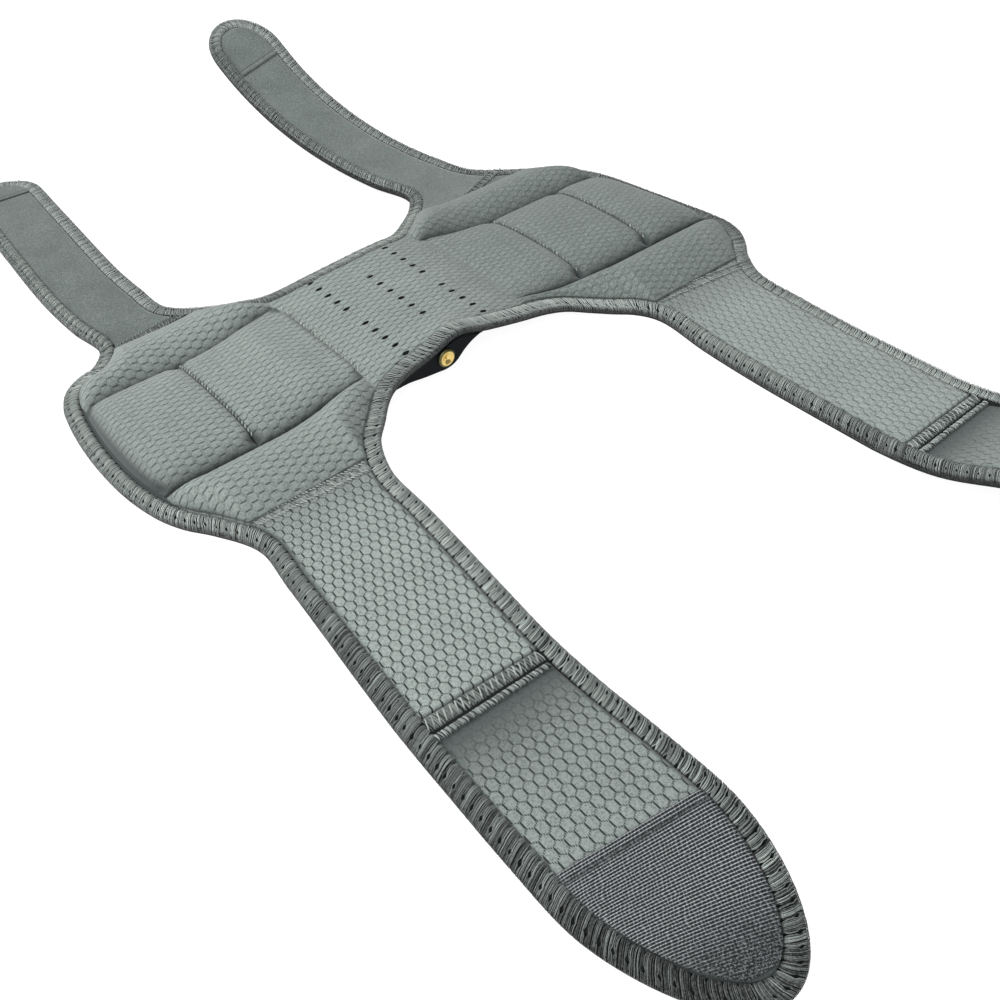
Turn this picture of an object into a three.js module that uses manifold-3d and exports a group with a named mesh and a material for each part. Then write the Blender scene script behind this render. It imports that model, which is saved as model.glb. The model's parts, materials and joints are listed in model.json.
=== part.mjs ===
// Spring knee brace, unwrapped and lying on its outer face with the padded side up.
// Millimetres. X runs along the leg from the calf (-) to the thigh (+), Y across the leg, Z up.
import * as THREE from 'three';
import Module from 'manifold-3d';

const wasm = await Module();
wasm.setup();

// Sheet goods
const CLOTH_THICK = 4.2;        // cloth-faced foam of the body and the wide straps
const PLUSH_THICK = 3.6;        // loop cloth of the narrow straps
const PATCH_THICK = 1.3;        // hook patches and end tabs laid on the straps
const BINDING_WIDTH = 8;        // overlocked band along every edge
const BINDING_THICK = 6;
const SEAM_GAP = 0.3;           // room between neighbouring pieces
const SEAM_ROLL = 7;            // rolled seam between the two panels of a wide strap
const ROOT_LEAD = 10;           // cloth before the root seam, trimmed off along it
const ROOT_SPREAD = 24;         // extra cloth beside the root, trimmed to the edge band
const ROOT_SPREAD_TO = 34;
const FLARE_REACH = 60;         // length over which a wide strap flares

// The waist stands off the surface on the spring plates
const WAIST_RISE = 13;
const RISE_FLAT = 12;           // level part, measured from the middle of the knee
const RISE_END = 82;            // where the cuffs lie flat again
const RISE_SIDE = 70;           // the strap roots lie flat
const HINGE_LIFT = 4.5;         // further lift of the near edge where the hinge pushes it up
const HINGE_LIFT_AT = 1;
const HINGE_LIFT_REACH = 11;

// Body
const CUFF_SEAM = 66;           // seam between a cuff and its straps, from the middle of the leg
const BODY_FROM = -140;         // room taken by the body along the leg
const BODY_TO = 164;

// Outer edge of the body in the four runs between the straps, counter-clockwise
const asPoint = ([x, y]) => ({ x, y });
const CALF_END_RUN = [
  [-113, 61.5],
  [-119, 59.5],
  [-125, 56.3],
  [-130, 51],
  [-133.5, 43.5],
  [-135.3, 35.5],
  [-136.9, 25],
  [-138.1, 11],
  [-138.4, -2],
  [-138, -14],
  [-137.2, -22],
  [-135.6, -31],
  [-133.2, -40],
  [-129, -49.5],
  [-122.8, -59],
].map(asPoint);
const NEAR_WAIST_RUN = [
  [-53, -61.4],
  [-46.8, -55.6],
  [-40.6, -49.8],
  [-35, -46],
  [-27, -44],
  [-14, -43],
  [0, -42.5],
  [14, -43],
  [30, -44],
  [46, -43.5],
  [56, -45],
  [64, -50],
  [72, -56.4],
  [79, -63],
].map(asPoint);
const THIGH_END_RUN = [
  [145.5, -66.5],
  [152.5, -59],
  [158.4, -50.5],
  [161.4, -40],
  [161, -28],
  [159.4, -14],
  [157.6, 0],
  [155.6, 16],
  [153.6, 30],
  [150.4, 42],
  [144.8, 52.5],
  [137, 61.5],
  [127.5, 69],
].map(asPoint);
const FAR_WAIST_RUN = [
  [60, 75.5],
  [52, 68.5],
  [44, 59.5],
  [36, 51],
  [29, 46],
  [20, 44],
  [8, 42.8],
  [-8, 41.6],
  [-22, 41.5],
  [-34, 44.3],
  [-40, 48],
  [-46, 55],
  [-51.5, 62],
].map(asPoint);

// Straps. Stops along a strap give its drift towards the thigh (yaw) and its slope off the surface
// (lift), in radians. A strap's edge joins the body's edge a little way out from the root, further
// where the two swing apart.
const STRAPS = [
  { name: 'calf_strap', side: -1, rootX: -86.2, half: 28, length: 227, tip: 48, point: 1.5,
    flare: 1.6, flareFrom: 110,
    yaw: [[0, -0.05], [60, -0.1], [105, -0.08], [125, 0], [185, 0], [227, -0.05]], lift: [[0, 0]],
    joinThigh: 9, joinCalf: 12, rollAt: 110, patchAt: 172 },
  { name: 'thigh_strap', side: -1, rootX: 111.6, half: 27.4, length: 245, tip: 48, point: 1.5,
    flare: 1.6, flareFrom: 127,
    yaw: [[0, -0.13], [80, 0.01], [245, 0.03]], lift: [[124, 0], [142, 0.42]],
    joinThigh: 12, joinCalf: 10, rollAt: 127, patchAt: 190 },
  { name: 'calf_loop', side: 1, rootX: -85.8, half: 18.5, length: 190, tip: 20, point: 2,
    flare: 0, flareFrom: 0,
    yaw: [[0, -0.15], [75, 0.06]], lift: [[0, 0]],
    joinThigh: 14, joinCalf: 8, patchAt: 168 },
  { name: 'thigh_loop', side: 1, rootX: 95.6, half: 19.4, length: 198, tip: 24, point: 2,
    flare: 0, flareFrom: 0,
    yaw: [[0, -0.394], [198, 0.12]], lift: [[0, 0], [198, 0.478]],
    joinThigh: 16, joinCalf: 28, patchAt: 168 },
];

// Pads of the two cuffs
const GROOVE = 33.5;            // furrow between centre pads and bolsters, from the middle of the leg
const PAD_HEIGHT = 8;
const BOLSTER_HEIGHT = 9;
const PAD_RIM = 0.7;            // thickness left where a pad meets a seam
const BOLSTER_INSET = 1;        // room between a bolster and the edge band
const CENTRE_PADS = [
  { name: 'calf_pad_outer', from: -130, to: -89 },
  { name: 'calf_pad_inner', from: -88, to: -40 },
  { name: 'thigh_pad_waist', from: 36, to: 75 },
  { name: 'thigh_pad_middle', from: 76, to: 116 },
  { name: 'thigh_pad_outer', from: 117, to: 148 },
];
const BOLSTERS = [
  { name: 'calf_bolster', from: -131, to: -40 },
  { name: 'thigh_bolster', from: 36, to: 149 },
];

// Rows of slits through the waist
const SLIT_LENGTH = 3.4;        // along the leg
const SLIT_WIDTH = 2.2;
const SLIT_ROWS = [
  { along: -21, places: [-5, -4, -3, -2, -1, 1, 2, 3, 4, 5], pitch: 7.0, middle: -1 },
  { along: 0, places: [-2.5, -1.5, -0.5, 0.5, 1.5, 2.5], pitch: 7.6, middle: 0 },
  { along: 19, places: [-5, -4, -3, -2, -1, 1, 2, 3, 4, 5], pitch: 7.0, middle: 0 },
];

// Spring plates, standing under the edges of the waist
const PLATE_FACE = 42.6;        // outer face, from the middle of the leg
const PLATE_THICK = 4;
const PLATE_BELLY = [           // lower edge of the near plate
  [-36.5, 7.2],
  [-31, 7.2],
  [-25, 7.2],
  [-18, 6.1],
  [-12, 5.4],
  [-6.5, 4.9],
  [-2, 6.1],
  [2.7, 9.6],
  [7, 11.5],
  [12, 12.2],
].map(([along, height]) => ({ along, height }));
const RIVET = { along: -6.8, height: 10.5, head: 4, shank: 2.2, proud: 1.3, dish: 0.7 };
const HINGES = [
  { side: 'near', sign: -1, drop: 0 },
  { side: 'far', sign: 1, drop: 2.4 },
];

function smoothFall(t) {
  const s = THREE.MathUtils.clamp(t, 0, 1);
  return (1 - s) * (1 - s) * (1 + 2 * s);
}

// Height of the underside of the cloth above the surface.
function clothRise(x, y) {
  const along = smoothFall((Math.abs(x) - RISE_FLAT) / (RISE_END - RISE_FLAT));
  const across = Math.max(0, 1 - (Math.abs(y) / RISE_SIDE) ** 6);
  const hinge = Math.exp(-(((x - HINGE_LIFT_AT) / HINGE_LIFT_REACH) ** 2)) * smoothFall((y + 44) / 24);
  return WAIST_RISE * along * across + HINGE_LIFT * hinge;
}

// Point of the body's cloth, the direction it faces there and the direction of its thickness.
function bodyPlace({ x, y }) {
  const step = 0.5;
  const slopeX = (clothRise(x + step, y) - clothRise(x - step, y)) / (2 * step);
  const slopeY = (clothRise(x, y + step) - clothRise(x, y - step)) / (2 * step);
  return {
    point: new THREE.Vector3(x, y, clothRise(x, y)),
    facing: new THREE.Vector3(-slopeX, -slopeY, 1).normalize(),
    thick: new THREE.Vector3(0, 0, 1),
  };
}

// Value between stops given as [place, value]; level before the first and after the last.
function stopValue(stops, place) {
  const next = stops.findIndex(([at]) => at > place);
  if (next === -1) return stops[stops.length - 1][1];
  if (next === 0) return stops[0][1];
  const [[fromAt, from], [toAt, to]] = [stops[next - 1], stops[next]];
  return THREE.MathUtils.mapLinear(place, fromAt, toAt, from, to);
}

// Turns a strap's own coordinates (along from the root, across towards the thigh) into the room's.
function strapPlacer(strap) {
  const steps = 120;
  const step = (ROOT_LEAD + strap.length + BINDING_WIDTH) / steps;
  const stations = [];
  const rootYaw = stopValue(strap.yaw, 0);
  const point = new THREE.Vector3(
    strap.rootX - ROOT_LEAD * Math.sin(rootYaw),
    strap.side * (CUFF_SEAM + SEAM_GAP - ROOT_LEAD * Math.cos(rootYaw)), 0);
  for (let i = 0; i <= steps; i += 1) {
    const along = Math.max(0, i * step - ROOT_LEAD);
    const yaw = stopValue(strap.yaw, along);
    const lift = stopValue(strap.lift, along);
    const heading = new THREE.Vector3(
      Math.sin(yaw) * Math.cos(lift), strap.side * Math.cos(yaw) * Math.cos(lift), Math.sin(lift));
    const across = new THREE.Vector3(Math.cos(yaw), -strap.side * Math.sin(yaw), 0);
    const normal = across.clone().cross(heading).multiplyScalar(strap.side);
    stations.push({ point: point.clone(), across, normal });
    point.addScaledVector(heading, step);
  }
  return (along, across) => {
    const place = THREE.MathUtils.clamp((along + ROOT_LEAD) / step, 0, steps - 1e-6);
    const index = Math.floor(place);
    const part = place - index;
    const low = stations[index];
    const high = stations[index + 1];
    const at = low.point.clone().lerp(high.point, part);
    at.addScaledVector(low.across.clone().lerp(high.across, part), across);
    at.z += clothRise(at.x, at.y);
    const facing = low.normal.clone().lerp(high.normal, part).normalize();
    return { point: at, facing, thick: facing.clone() };
  };
}

// Half width of a strap, which may flare a little before its rounded tip.
function strapHalf(strap, along) {
  const t = (along - (strap.length - strap.tip)) / strap.tip;
  const half = strap.half + strap.flare * (1 - smoothFall((along - strap.flareFrom) / FLARE_REACH));
  if (t <= 0) return half;
  return half * Math.sqrt(Math.max(0, 1 - t ** strap.point));
}

// Outline of a strap moved inwards, given as half widths along its length.
function strapInset(strap, inset) {
  const samples = 240;
  const rim = [];
  for (let i = 0; i <= samples; i += 1) {
    const along = strap.length * Math.sin((i / samples) * Math.PI / 2);
    rim.push(new THREE.Vector2(along, strapHalf(strap, along)));
  }
  const moved = rim.map((point, i) => {
    const tangent = rim[Math.min(i + 1, samples)].clone().sub(rim[Math.max(i - 1, 0)]).normalize();
    return new THREE.Vector2(point.x + tangent.y * inset, point.y - tangent.x * inset);
  });
  const kept = moved.filter((point) => point.y > 0.8);
  const end = kept[kept.length - 1].x;
  const halfAt = (along) => {
    const next = kept.findIndex((point) => point.x >= along);
    if (next <= 0) return kept[next === 0 ? 0 : kept.length - 1].y;
    return THREE.MathUtils.mapLinear(along, kept[next - 1].x, kept[next].x, kept[next - 1].y, kept[next].y);
  };
  return { end, halfAt };
}

// Solids

function geometryFrom(vertices, triangles) {
  const geometry = new THREE.BufferGeometry();
  const numbers = vertices.flatMap((vertex) => vertex.toArray());
  geometry.setAttribute('position', new THREE.Float32BufferAttribute(numbers, 3));
  let volume = 0;
  for (const [a, b, c] of triangles) {
    volume += vertices[a].dot(vertices[b].clone().cross(vertices[c]));
  }
  const faced = volume > 0 ? triangles : triangles.map(([a, b, c]) => [a, c, b]);
  geometry.setIndex(faced.flat());
  return geometry;
}

// Closed sheet between two grids of points with the same rows and columns.
function slab(top, bottom) {
  const rows = top.length;
  const columns = top[0].length;
  const vertices = [...top.flat(), ...bottom.flat()];
  const upper = (i, j) => i * columns + j;
  const lower = (i, j) => rows * columns + i * columns + j;
  const triangles = [];
  const quad = (a, b, c, d) => triangles.push([a, b, c], [a, c, d]);
  for (let i = 0; i < rows - 1; i += 1) {
    for (let j = 0; j < columns - 1; j += 1) {
      quad(upper(i, j), upper(i + 1, j), upper(i + 1, j + 1), upper(i, j + 1));
      quad(lower(i, j), lower(i, j + 1), lower(i + 1, j + 1), lower(i + 1, j));
    }
    quad(upper(i, 0), lower(i, 0), lower(i + 1, 0), upper(i + 1, 0));
    quad(upper(i + 1, columns - 1), lower(i + 1, columns - 1), lower(i, columns - 1), upper(i, columns - 1));
  }
  for (let j = 0; j < columns - 1; j += 1) {
    quad(upper(0, j + 1), lower(0, j + 1), lower(0, j), upper(0, j));
    quad(upper(rows - 1, j), lower(rows - 1, j), lower(rows - 1, j + 1), upper(rows - 1, j + 1));
  }
  return geometryFrom(vertices, triangles);
}

// Band with the same section all the way round a closed run of rings.
function closedBand(rings) {
  const size = rings[0].length;
  const triangles = [];
  rings.forEach((ring, i) => {
    const next = (i + 1) % rings.length;
    for (let j = 0; j < size; j += 1) {
      const k = (j + 1) % size;
      triangles.push([i * size + j, i * size + k, next * size + k]);
      triangles.push([i * size + j, next * size + k, next * size + j]);
    }
  });
  return geometryFrom(rings.flat(), triangles);
}

// Outline without the points that lie on a straight run between their neighbours.
function cornersOf(outline) {
  return outline.filter((point, i) => {
    const before = outline[(i + outline.length - 1) % outline.length];
    const after = outline[(i + 1) % outline.length];
    return Math.abs(point.clone().sub(before).cross(after.clone().sub(point))) > 1e-3;
  });
}

// Straight-sided solid over a flat outline; lay(u, v, level) puts its points in the room.
function prism(rawOutline, low, high, lay) {
  const outline = cornersOf(rawOutline);
  const count = outline.length;
  const caps = THREE.ShapeUtils.triangulateShape(outline, []);
  const vertices = [low, high].flatMap((level) => outline.map((point) => lay(point.x, point.y, level)));
  const triangles = [];
  const turned = THREE.ShapeUtils.isClockWise(outline);
  for (const [a, b, c] of caps) {
    triangles.push([a, c, b], [a + count, b + count, c + count]);
  }
  outline.forEach((point, i) => {
    const next = (i + 1) % count;
    const sides = [[i, next, next + count], [i, next + count, i + count]];
    triangles.push(...(turned ? sides.map(([a, b, c]) => [a, c, b]) : sides));
  });
  return geometryFrom(vertices, triangles);
}

const upright = (x, y, z) => new THREE.Vector3(x, y, z);

function manifoldOf(geometry) {
  return new wasm.Manifold(new wasm.Mesh({
    numProp: 3,
    vertProperties: new Float32Array(geometry.getAttribute('position').array),
    triVerts: new Uint32Array(geometry.getIndex().array),
  }));
}

function geometryOf(manifold) {
  const mesh = manifold.getMesh();
  const geometry = new THREE.BufferGeometry();
  geometry.setAttribute('position', new THREE.Float32BufferAttribute(Array.from(mesh.vertProperties), 3));
  geometry.setIndex(Array.from(mesh.triVerts));
  return geometry;
}

function range(count) {
  return Array.from({ length: count }, (_, i) => i / (count - 1));
}

// Edge of the whole brace, counter-clockwise from the calf end: body edge, strap, body edge, and so on.

const placers = new Map(STRAPS.map((strap) => [strap.name, strapPlacer(strap)]));
const [calfStrap, thighStrap, calfLoop, thighLoop] = STRAPS;

function strapEdgeRun(strap, firstSign) {
  const place = placers.get(strap.name);
  const straight = strap.length - strap.tip;
  const bends = 8;
  const tipRun = range(9).slice(1).map((t) => straight + strap.tip * Math.sin(t * Math.PI / 2));
  const sideOf = (sign) => {
    const join = sign > 0 ? strap.joinThigh : strap.joinCalf;
    const alongs = [...range(bends).map((t) => THREE.MathUtils.lerp(join, straight, t)), ...tipRun];
    return alongs.map((along) => place(along, sign * strapHalf(strap, along)));
  };
  return [...sideOf(firstSign), ...sideOf(-firstSign).slice(0, -1).reverse()];
}

const edgeKeys = [
  ...CALF_END_RUN.map(bodyPlace),
  ...strapEdgeRun(calfStrap, -1),
  ...NEAR_WAIST_RUN.map(bodyPlace),
  ...strapEdgeRun(thighStrap, -1),
  ...THIGH_END_RUN.map(bodyPlace),
  ...strapEdgeRun(thighLoop, 1),
  ...FAR_WAIST_RUN.map(bodyPlace),
  ...strapEdgeRun(calfLoop, 1),
];

const edgeSpline = new THREE.CatmullRomCurve3(edgeKeys.map((key) => key.point), true, 'centripetal');
const EDGE_STEPS = 2;           // points laid between two neighbours of the edge
const edge = edgeKeys.flatMap((key, i) => range(EDGE_STEPS + 1).slice(0, -1).map((t) => {
  const next = edgeKeys[(i + 1) % edgeKeys.length];
  return {
    point: edgeSpline.getPoint(((i + t) / edgeKeys.length) % 1),
    facing: key.facing.clone().lerp(next.facing, t).normalize(),
    thick: key.thick.clone().lerp(next.thick, t).normalize(),
  };
}));
edge.forEach((here, i) => {
  const before = edge[(i + edge.length - 1) % edge.length].point;
  const after = edge[(i + 1) % edge.length].point;
  here.inward = here.facing.clone().cross(after.clone().sub(before)).normalize();
});

// Point of the edge moved inwards and up, never under the surface that the brace lies on.
function edgePoint(here, inset, height) {
  const base = here.point.clone().addScaledVector(here.inward, inset);
  base.z = Math.max(0, base.z);
  return base.addScaledVector(here.thick, height);
}

// Materials
function finish(name, color, roughness, metalness = 0) {
  return new THREE.MeshStandardMaterial({ name, color, roughness, metalness });
}

const cloth = finish('honeycomb_cloth', 0x6f7a78, 0.9);
const thread = finish('binding_thread', 0x5c6160, 0.85);
const plush = finish('loop_plush', 0x4a5553, 0.95);
const hooks = finish('hook_tape', 0x3b4142, 0.8);
const black = finish('spring_black', 0x121314, 0.5);
const brass = finish('rivet_brass', 0xb08a3c, 0.35, 1);

const brace = new THREE.Group();
brace.name = 'spring_knee_brace';

function addPiece(name, geometry, material) {
  geometry.computeVertexNormals();
  const mesh = new THREE.Mesh(geometry, material);
  mesh.name = name;
  brace.add(mesh);
}

// Body panel: a bent sheet trimmed to the edge band, with the slits cut through.
const innerOutline = edge.map((here) => edgePoint(here, BINDING_WIDTH + SEAM_GAP, 0))
  .map((point) => new THREE.Vector2(point.x, point.y));
const cutter = manifoldOf(prism(innerOutline, -5, 60, upright));

function bentSheet(xs, yAt, bottomAt, topAt) {
  const grid = (heightAt) => xs.map((x) => yAt(x).map((y) => new THREE.Vector3(x, y, heightAt(x, y))));
  return slab(grid(topAt), grid(bottomAt));
}

const sheetRows = range(24).map((t) => THREE.MathUtils.lerp(BODY_FROM, BODY_TO, t));
const sheetColumns = range(8).map((t) => THREE.MathUtils.lerp(-CUFF_SEAM, CUFF_SEAM, t));
const clothTop = (x, y) => clothRise(x, y) + CLOTH_THICK;
let body = manifoldOf(bentSheet(sheetRows, () => sheetColumns, clothRise, clothTop)).intersect(cutter);
for (const row of SLIT_ROWS) {
  for (const place of row.places) {
    const middle = row.middle + place * row.pitch;
    const outline = [
      new THREE.Vector2(row.along - SLIT_LENGTH / 2, middle),
      new THREE.Vector2(row.along, middle - SLIT_WIDTH / 2),
      new THREE.Vector2(row.along + SLIT_LENGTH / 2, middle),
      new THREE.Vector2(row.along, middle + SLIT_WIDTH / 2),
    ];
    body = body.subtract(manifoldOf(prism(outline, 0, 30, upright)));
  }
}
addPiece('body_panel', geometryOf(body), cloth);

// Pads. A pad's top swells from a thin rim to its full height, on a grid closer towards its sides.
const towardsSides = (t) => 0.5 - 0.5 * Math.cos(t * Math.PI);

function swell(t, sharp) {
  return Math.sqrt(Math.max(0, 1 - Math.abs(2 * t - 1) ** sharp));
}

const padBase = (x, y) => clothTop(x, y) + SEAM_GAP;

for (const pad of CENTRE_PADS) {
  const rows = range(9).map(towardsSides);
  const columns = range(11).map(towardsSides);
  const gridAt = (heightAt) => rows.map((s) => columns.map((t) => {
    const x = THREE.MathUtils.lerp(pad.from, pad.to, s);
    const y = THREE.MathUtils.lerp(-GROOVE + 0.4, GROOVE - 0.4, t);
    return new THREE.Vector3(x, y, heightAt(x, y, s, t));
  }));
  const top = gridAt((x, y, s, t) => padBase(x, y) + PAD_RIM + PAD_HEIGHT * swell(s, 6) * swell(t, 6));
  const bottom = gridAt((x, y) => padBase(x, y));
  addPiece(pad.name, geometryOf(manifoldOf(slab(top, bottom)).intersect(cutter)), cloth);
}

// How far the cloth reaches sideways from the furrow at a place along the leg.
function clothReach(sign, x) {
  let reach = CUFF_SEAM;
  innerOutline.forEach((from, i) => {
    const to = innerOutline[(i + 1) % innerOutline.length];
    if ((from.x - x) * (to.x - x) > 0 || from.x === to.x) return;
    const side = sign * THREE.MathUtils.mapLinear(x, from.x, to.x, from.y, to.y);
    if (side > 0) reach = Math.min(reach, Math.max(side, GROOVE + 3));
  });
  return reach;
}

for (const bolster of BOLSTERS) {
  for (const side of ['near', 'far']) {
    const sign = side === 'near' ? -1 : 1;
    const rows = range(15).map(towardsSides);
    const columns = range(8).map(towardsSides);
    const gridAt = (heightAt) => rows.map((s) => columns.map((t) => {
      const x = THREE.MathUtils.lerp(bolster.from, bolster.to, s);
      const y = sign * THREE.MathUtils.lerp(GROOVE + 0.4, clothReach(sign, x) - BOLSTER_INSET, t);
      return new THREE.Vector3(x, y, heightAt(x, y, s, t));
    }));
    const swollen = (s, t) => PAD_RIM + BOLSTER_HEIGHT * swell(s, 4) * swell(t, 3);
    const top = gridAt((x, y, s, t) => padBase(x, y) + swollen(s, t));
    const bottom = gridAt((x, y) => padBase(x, y));
    addPiece(`${bolster.name}_${side}`, geometryOf(manifoldOf(slab(top, bottom)).intersect(cutter)), cloth);
  }
}

const panelInset = BINDING_WIDTH + SEAM_GAP;

// Straps. A strip of a strap between two places along it, from one height to another.
function strapStrip(strap, from, to, low, high, inset, rootSpread = 0) {
  const place = placers.get(strap.name);
  const { end, halfAt } = strapInset(strap, inset);
  const stop = Math.min(to, end);
  const straight = Math.min(stop, strap.length - strap.tip);
  const bends = Math.max(2, Math.ceil((straight - from) / 14));
  let alongs = range(bends + 1).map((t) => THREE.MathUtils.lerp(from, straight, t));
  if (from >= straight) alongs = [from];
  if (stop > straight) {
    const tipFrom = Math.max(from, straight);
    const tipRun = range(9).slice(1).map((t) => Math.sin(t * Math.PI / 2));
    alongs = [...alongs, ...tipRun.map((t) => THREE.MathUtils.lerp(tipFrom, stop, t))];
  }
  const gridAt = (height) => alongs.map((along) => range(2).map((t) => {
    const half = halfAt(along) + rootSpread * smoothFall(along / ROOT_SPREAD_TO);
    const { point, thick } = place(along, THREE.MathUtils.lerp(-half, half, t));
    return point.addScaledVector(thick, height);
  }));
  return slab(gridAt(high), gridAt(low));
}

// The same strip started before the root, cut straight along the cuff's seam and trimmed to the edge band.
function rootStrip(strap, to, high) {
  const strip = manifoldOf(strapStrip(strap, -ROOT_LEAD, to, 0, high, panelInset + SEAM_GAP, ROOT_SPREAD));
  const seam = strap.side * (CUFF_SEAM + SEAM_GAP);
  const beyond = [[-300, seam], [300, seam], [300, strap.side * 500], [-300, strap.side * 500]];
  const keep = prism(beyond.map(([x, y]) => new THREE.Vector2(x, y)), -20, 200, upright);
  return geometryOf(strip.intersect(manifoldOf(keep)).intersect(cutter));
}

for (const strap of [calfStrap, thighStrap]) {
  const rollEnd = strap.rollAt + SEAM_ROLL;
  const patchLow = CLOTH_THICK + SEAM_GAP;
  addPiece(`${strap.name}_inner`, rootStrip(strap, strap.rollAt - SEAM_GAP, CLOTH_THICK), cloth);
  addPiece(`${strap.name}_roll`,
    strapStrip(strap, strap.rollAt, rollEnd, 0, BINDING_THICK, panelInset), thread);
  addPiece(`${strap.name}_outer`,
    strapStrip(strap, rollEnd + SEAM_GAP, strap.length, 0, CLOTH_THICK, panelInset), cloth);
  addPiece(`${strap.name}_hook_patch`,
    strapStrip(strap, strap.patchAt, strap.length, patchLow, patchLow + PATCH_THICK, panelInset), hooks);
}
for (const strap of [calfLoop, thighLoop]) {
  const tabLow = PLUSH_THICK + SEAM_GAP;
  addPiece(strap.name, rootStrip(strap, strap.length, PLUSH_THICK), plush);
  addPiece(`${strap.name}_tab`,
    strapStrip(strap, strap.patchAt, strap.length, tabLow, tabLow + PATCH_THICK, panelInset), plush);
}

// Edge binding
const BINDING_SECTION = [
  [1.2, 0],
  [0, 2.6],
  [1.6, BINDING_THICK],
  [BINDING_WIDTH, 5.2],
  [BINDING_WIDTH, 0],
].map(([inset, height]) => ({ inset, height }));
const bindingRing = (here) => BINDING_SECTION.map((corner) => edgePoint(here, corner.inset, corner.height));
addPiece('edge_binding', closedBand(edge.map(bindingRing)), thread);

// Spring plates and hinge rivets
function revolve(profile, segments, lay) {
  const inner = profile.slice(1, -1);
  const vertices = [lay(0, 0, profile[0].y)];
  for (let i = 0; i < segments; i += 1) {
    const angle = (i / segments) * 2 * Math.PI;
    const [cos, sin] = [Math.cos(angle), Math.sin(angle)];
    vertices.push(...inner.map((point) => lay(point.x * cos, point.x * sin, point.y)));
  }
  vertices.push(lay(0, 0, profile[profile.length - 1].y));
  const at = (i, j) => 1 + (i % segments) * inner.length + j;
  const last = vertices.length - 1;
  const triangles = [];
  for (let i = 0; i < segments; i += 1) {
    triangles.push([0, at(i, 0), at(i + 1, 0)]);
    for (let j = 0; j < inner.length - 1; j += 1) {
      triangles.push([at(i, j), at(i, j + 1), at(i + 1, j + 1)], [at(i, j), at(i + 1, j + 1), at(i + 1, j)]);
    }
    triangles.push([at(i, inner.length - 1), last, at(i + 1, inner.length - 1)]);
  }
  return geometryFrom(vertices, triangles);
}

for (const { side, sign, drop } of HINGES) {
  const lay = (x, z, depth) => new THREE.Vector3(x, sign * (PLATE_FACE - depth), z);
  const belly = PLATE_BELLY.map((row) => new THREE.Vector2(row.along, row.height - drop));
  const under = range(12).map((t) => THREE.MathUtils.lerp(belly[belly.length - 1].x, belly[0].x, t))
    .map((x) => new THREE.Vector2(x, clothRise(x, sign * PLATE_FACE) - 2 * SEAM_GAP));
  const outline = [...new THREE.SplineCurve(belly).getPoints(24), ...under];
  const atRivet = (u, v, depth) => lay(RIVET.along + u, RIVET.height - drop + v, depth);
  const circle = (radius) => range(17).slice(0, -1)
    .map((t) => new THREE.Vector2(radius * Math.cos(t * 2 * Math.PI), radius * Math.sin(t * 2 * Math.PI)));
  const bore = manifoldOf(prism(circle(RIVET.shank + SEAM_GAP), -3, PLATE_THICK + 3, atRivet));
  const plate = manifoldOf(prism(outline, 0, PLATE_THICK, lay)).subtract(bore);
  addPiece(`spring_plate_${side}`, geometryOf(plate), black);
  const profile = [
    [0, -RIVET.proud + RIVET.dish],
    [RIVET.head - 1.6, -RIVET.proud + RIVET.dish],
    [RIVET.head - 0.9, -RIVET.proud],
    [RIVET.head, -SEAM_GAP - 0.5],
    [RIVET.head, -SEAM_GAP],
    [RIVET.shank, -SEAM_GAP],
    [RIVET.shank, PLATE_THICK + SEAM_GAP],
    [RIVET.head - 0.8, PLATE_THICK + SEAM_GAP],
    [RIVET.head - 0.8, PLATE_THICK + 1.2],
    [0, PLATE_THICK + 1.2],
  ].map(([radius, depth]) => new THREE.Vector2(radius, depth));
  addPiece(`hinge_rivet_${side}`, revolve(profile, 16, atRivet), brass);
}

// The middle of the whole spread-out brace is the origin, with the surface it lies on at zero.
const box = new THREE.Box3().setFromObject(brace);
const middle = box.getCenter(new THREE.Vector3());
for (const mesh of brace.children) {
  mesh.geometry.translate(-middle.x, -middle.y, -box.min.z);
}

export default brace;
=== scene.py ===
# %% [markdown]
# # A spring knee brace, lying open
# The brace lies unwrapped on its outer face, with the padded side up. It is a soft sewn thing: two
# quilted cuffs on a bent cloth panel, four straps, one overlocked band along every edge, and a small
# black spring plate with a brass rivet under each side of the waist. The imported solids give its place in
# the room. Each of them is replaced here by a finer piece, worked out with numpy from the same few sizes.

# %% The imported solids
import json

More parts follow.
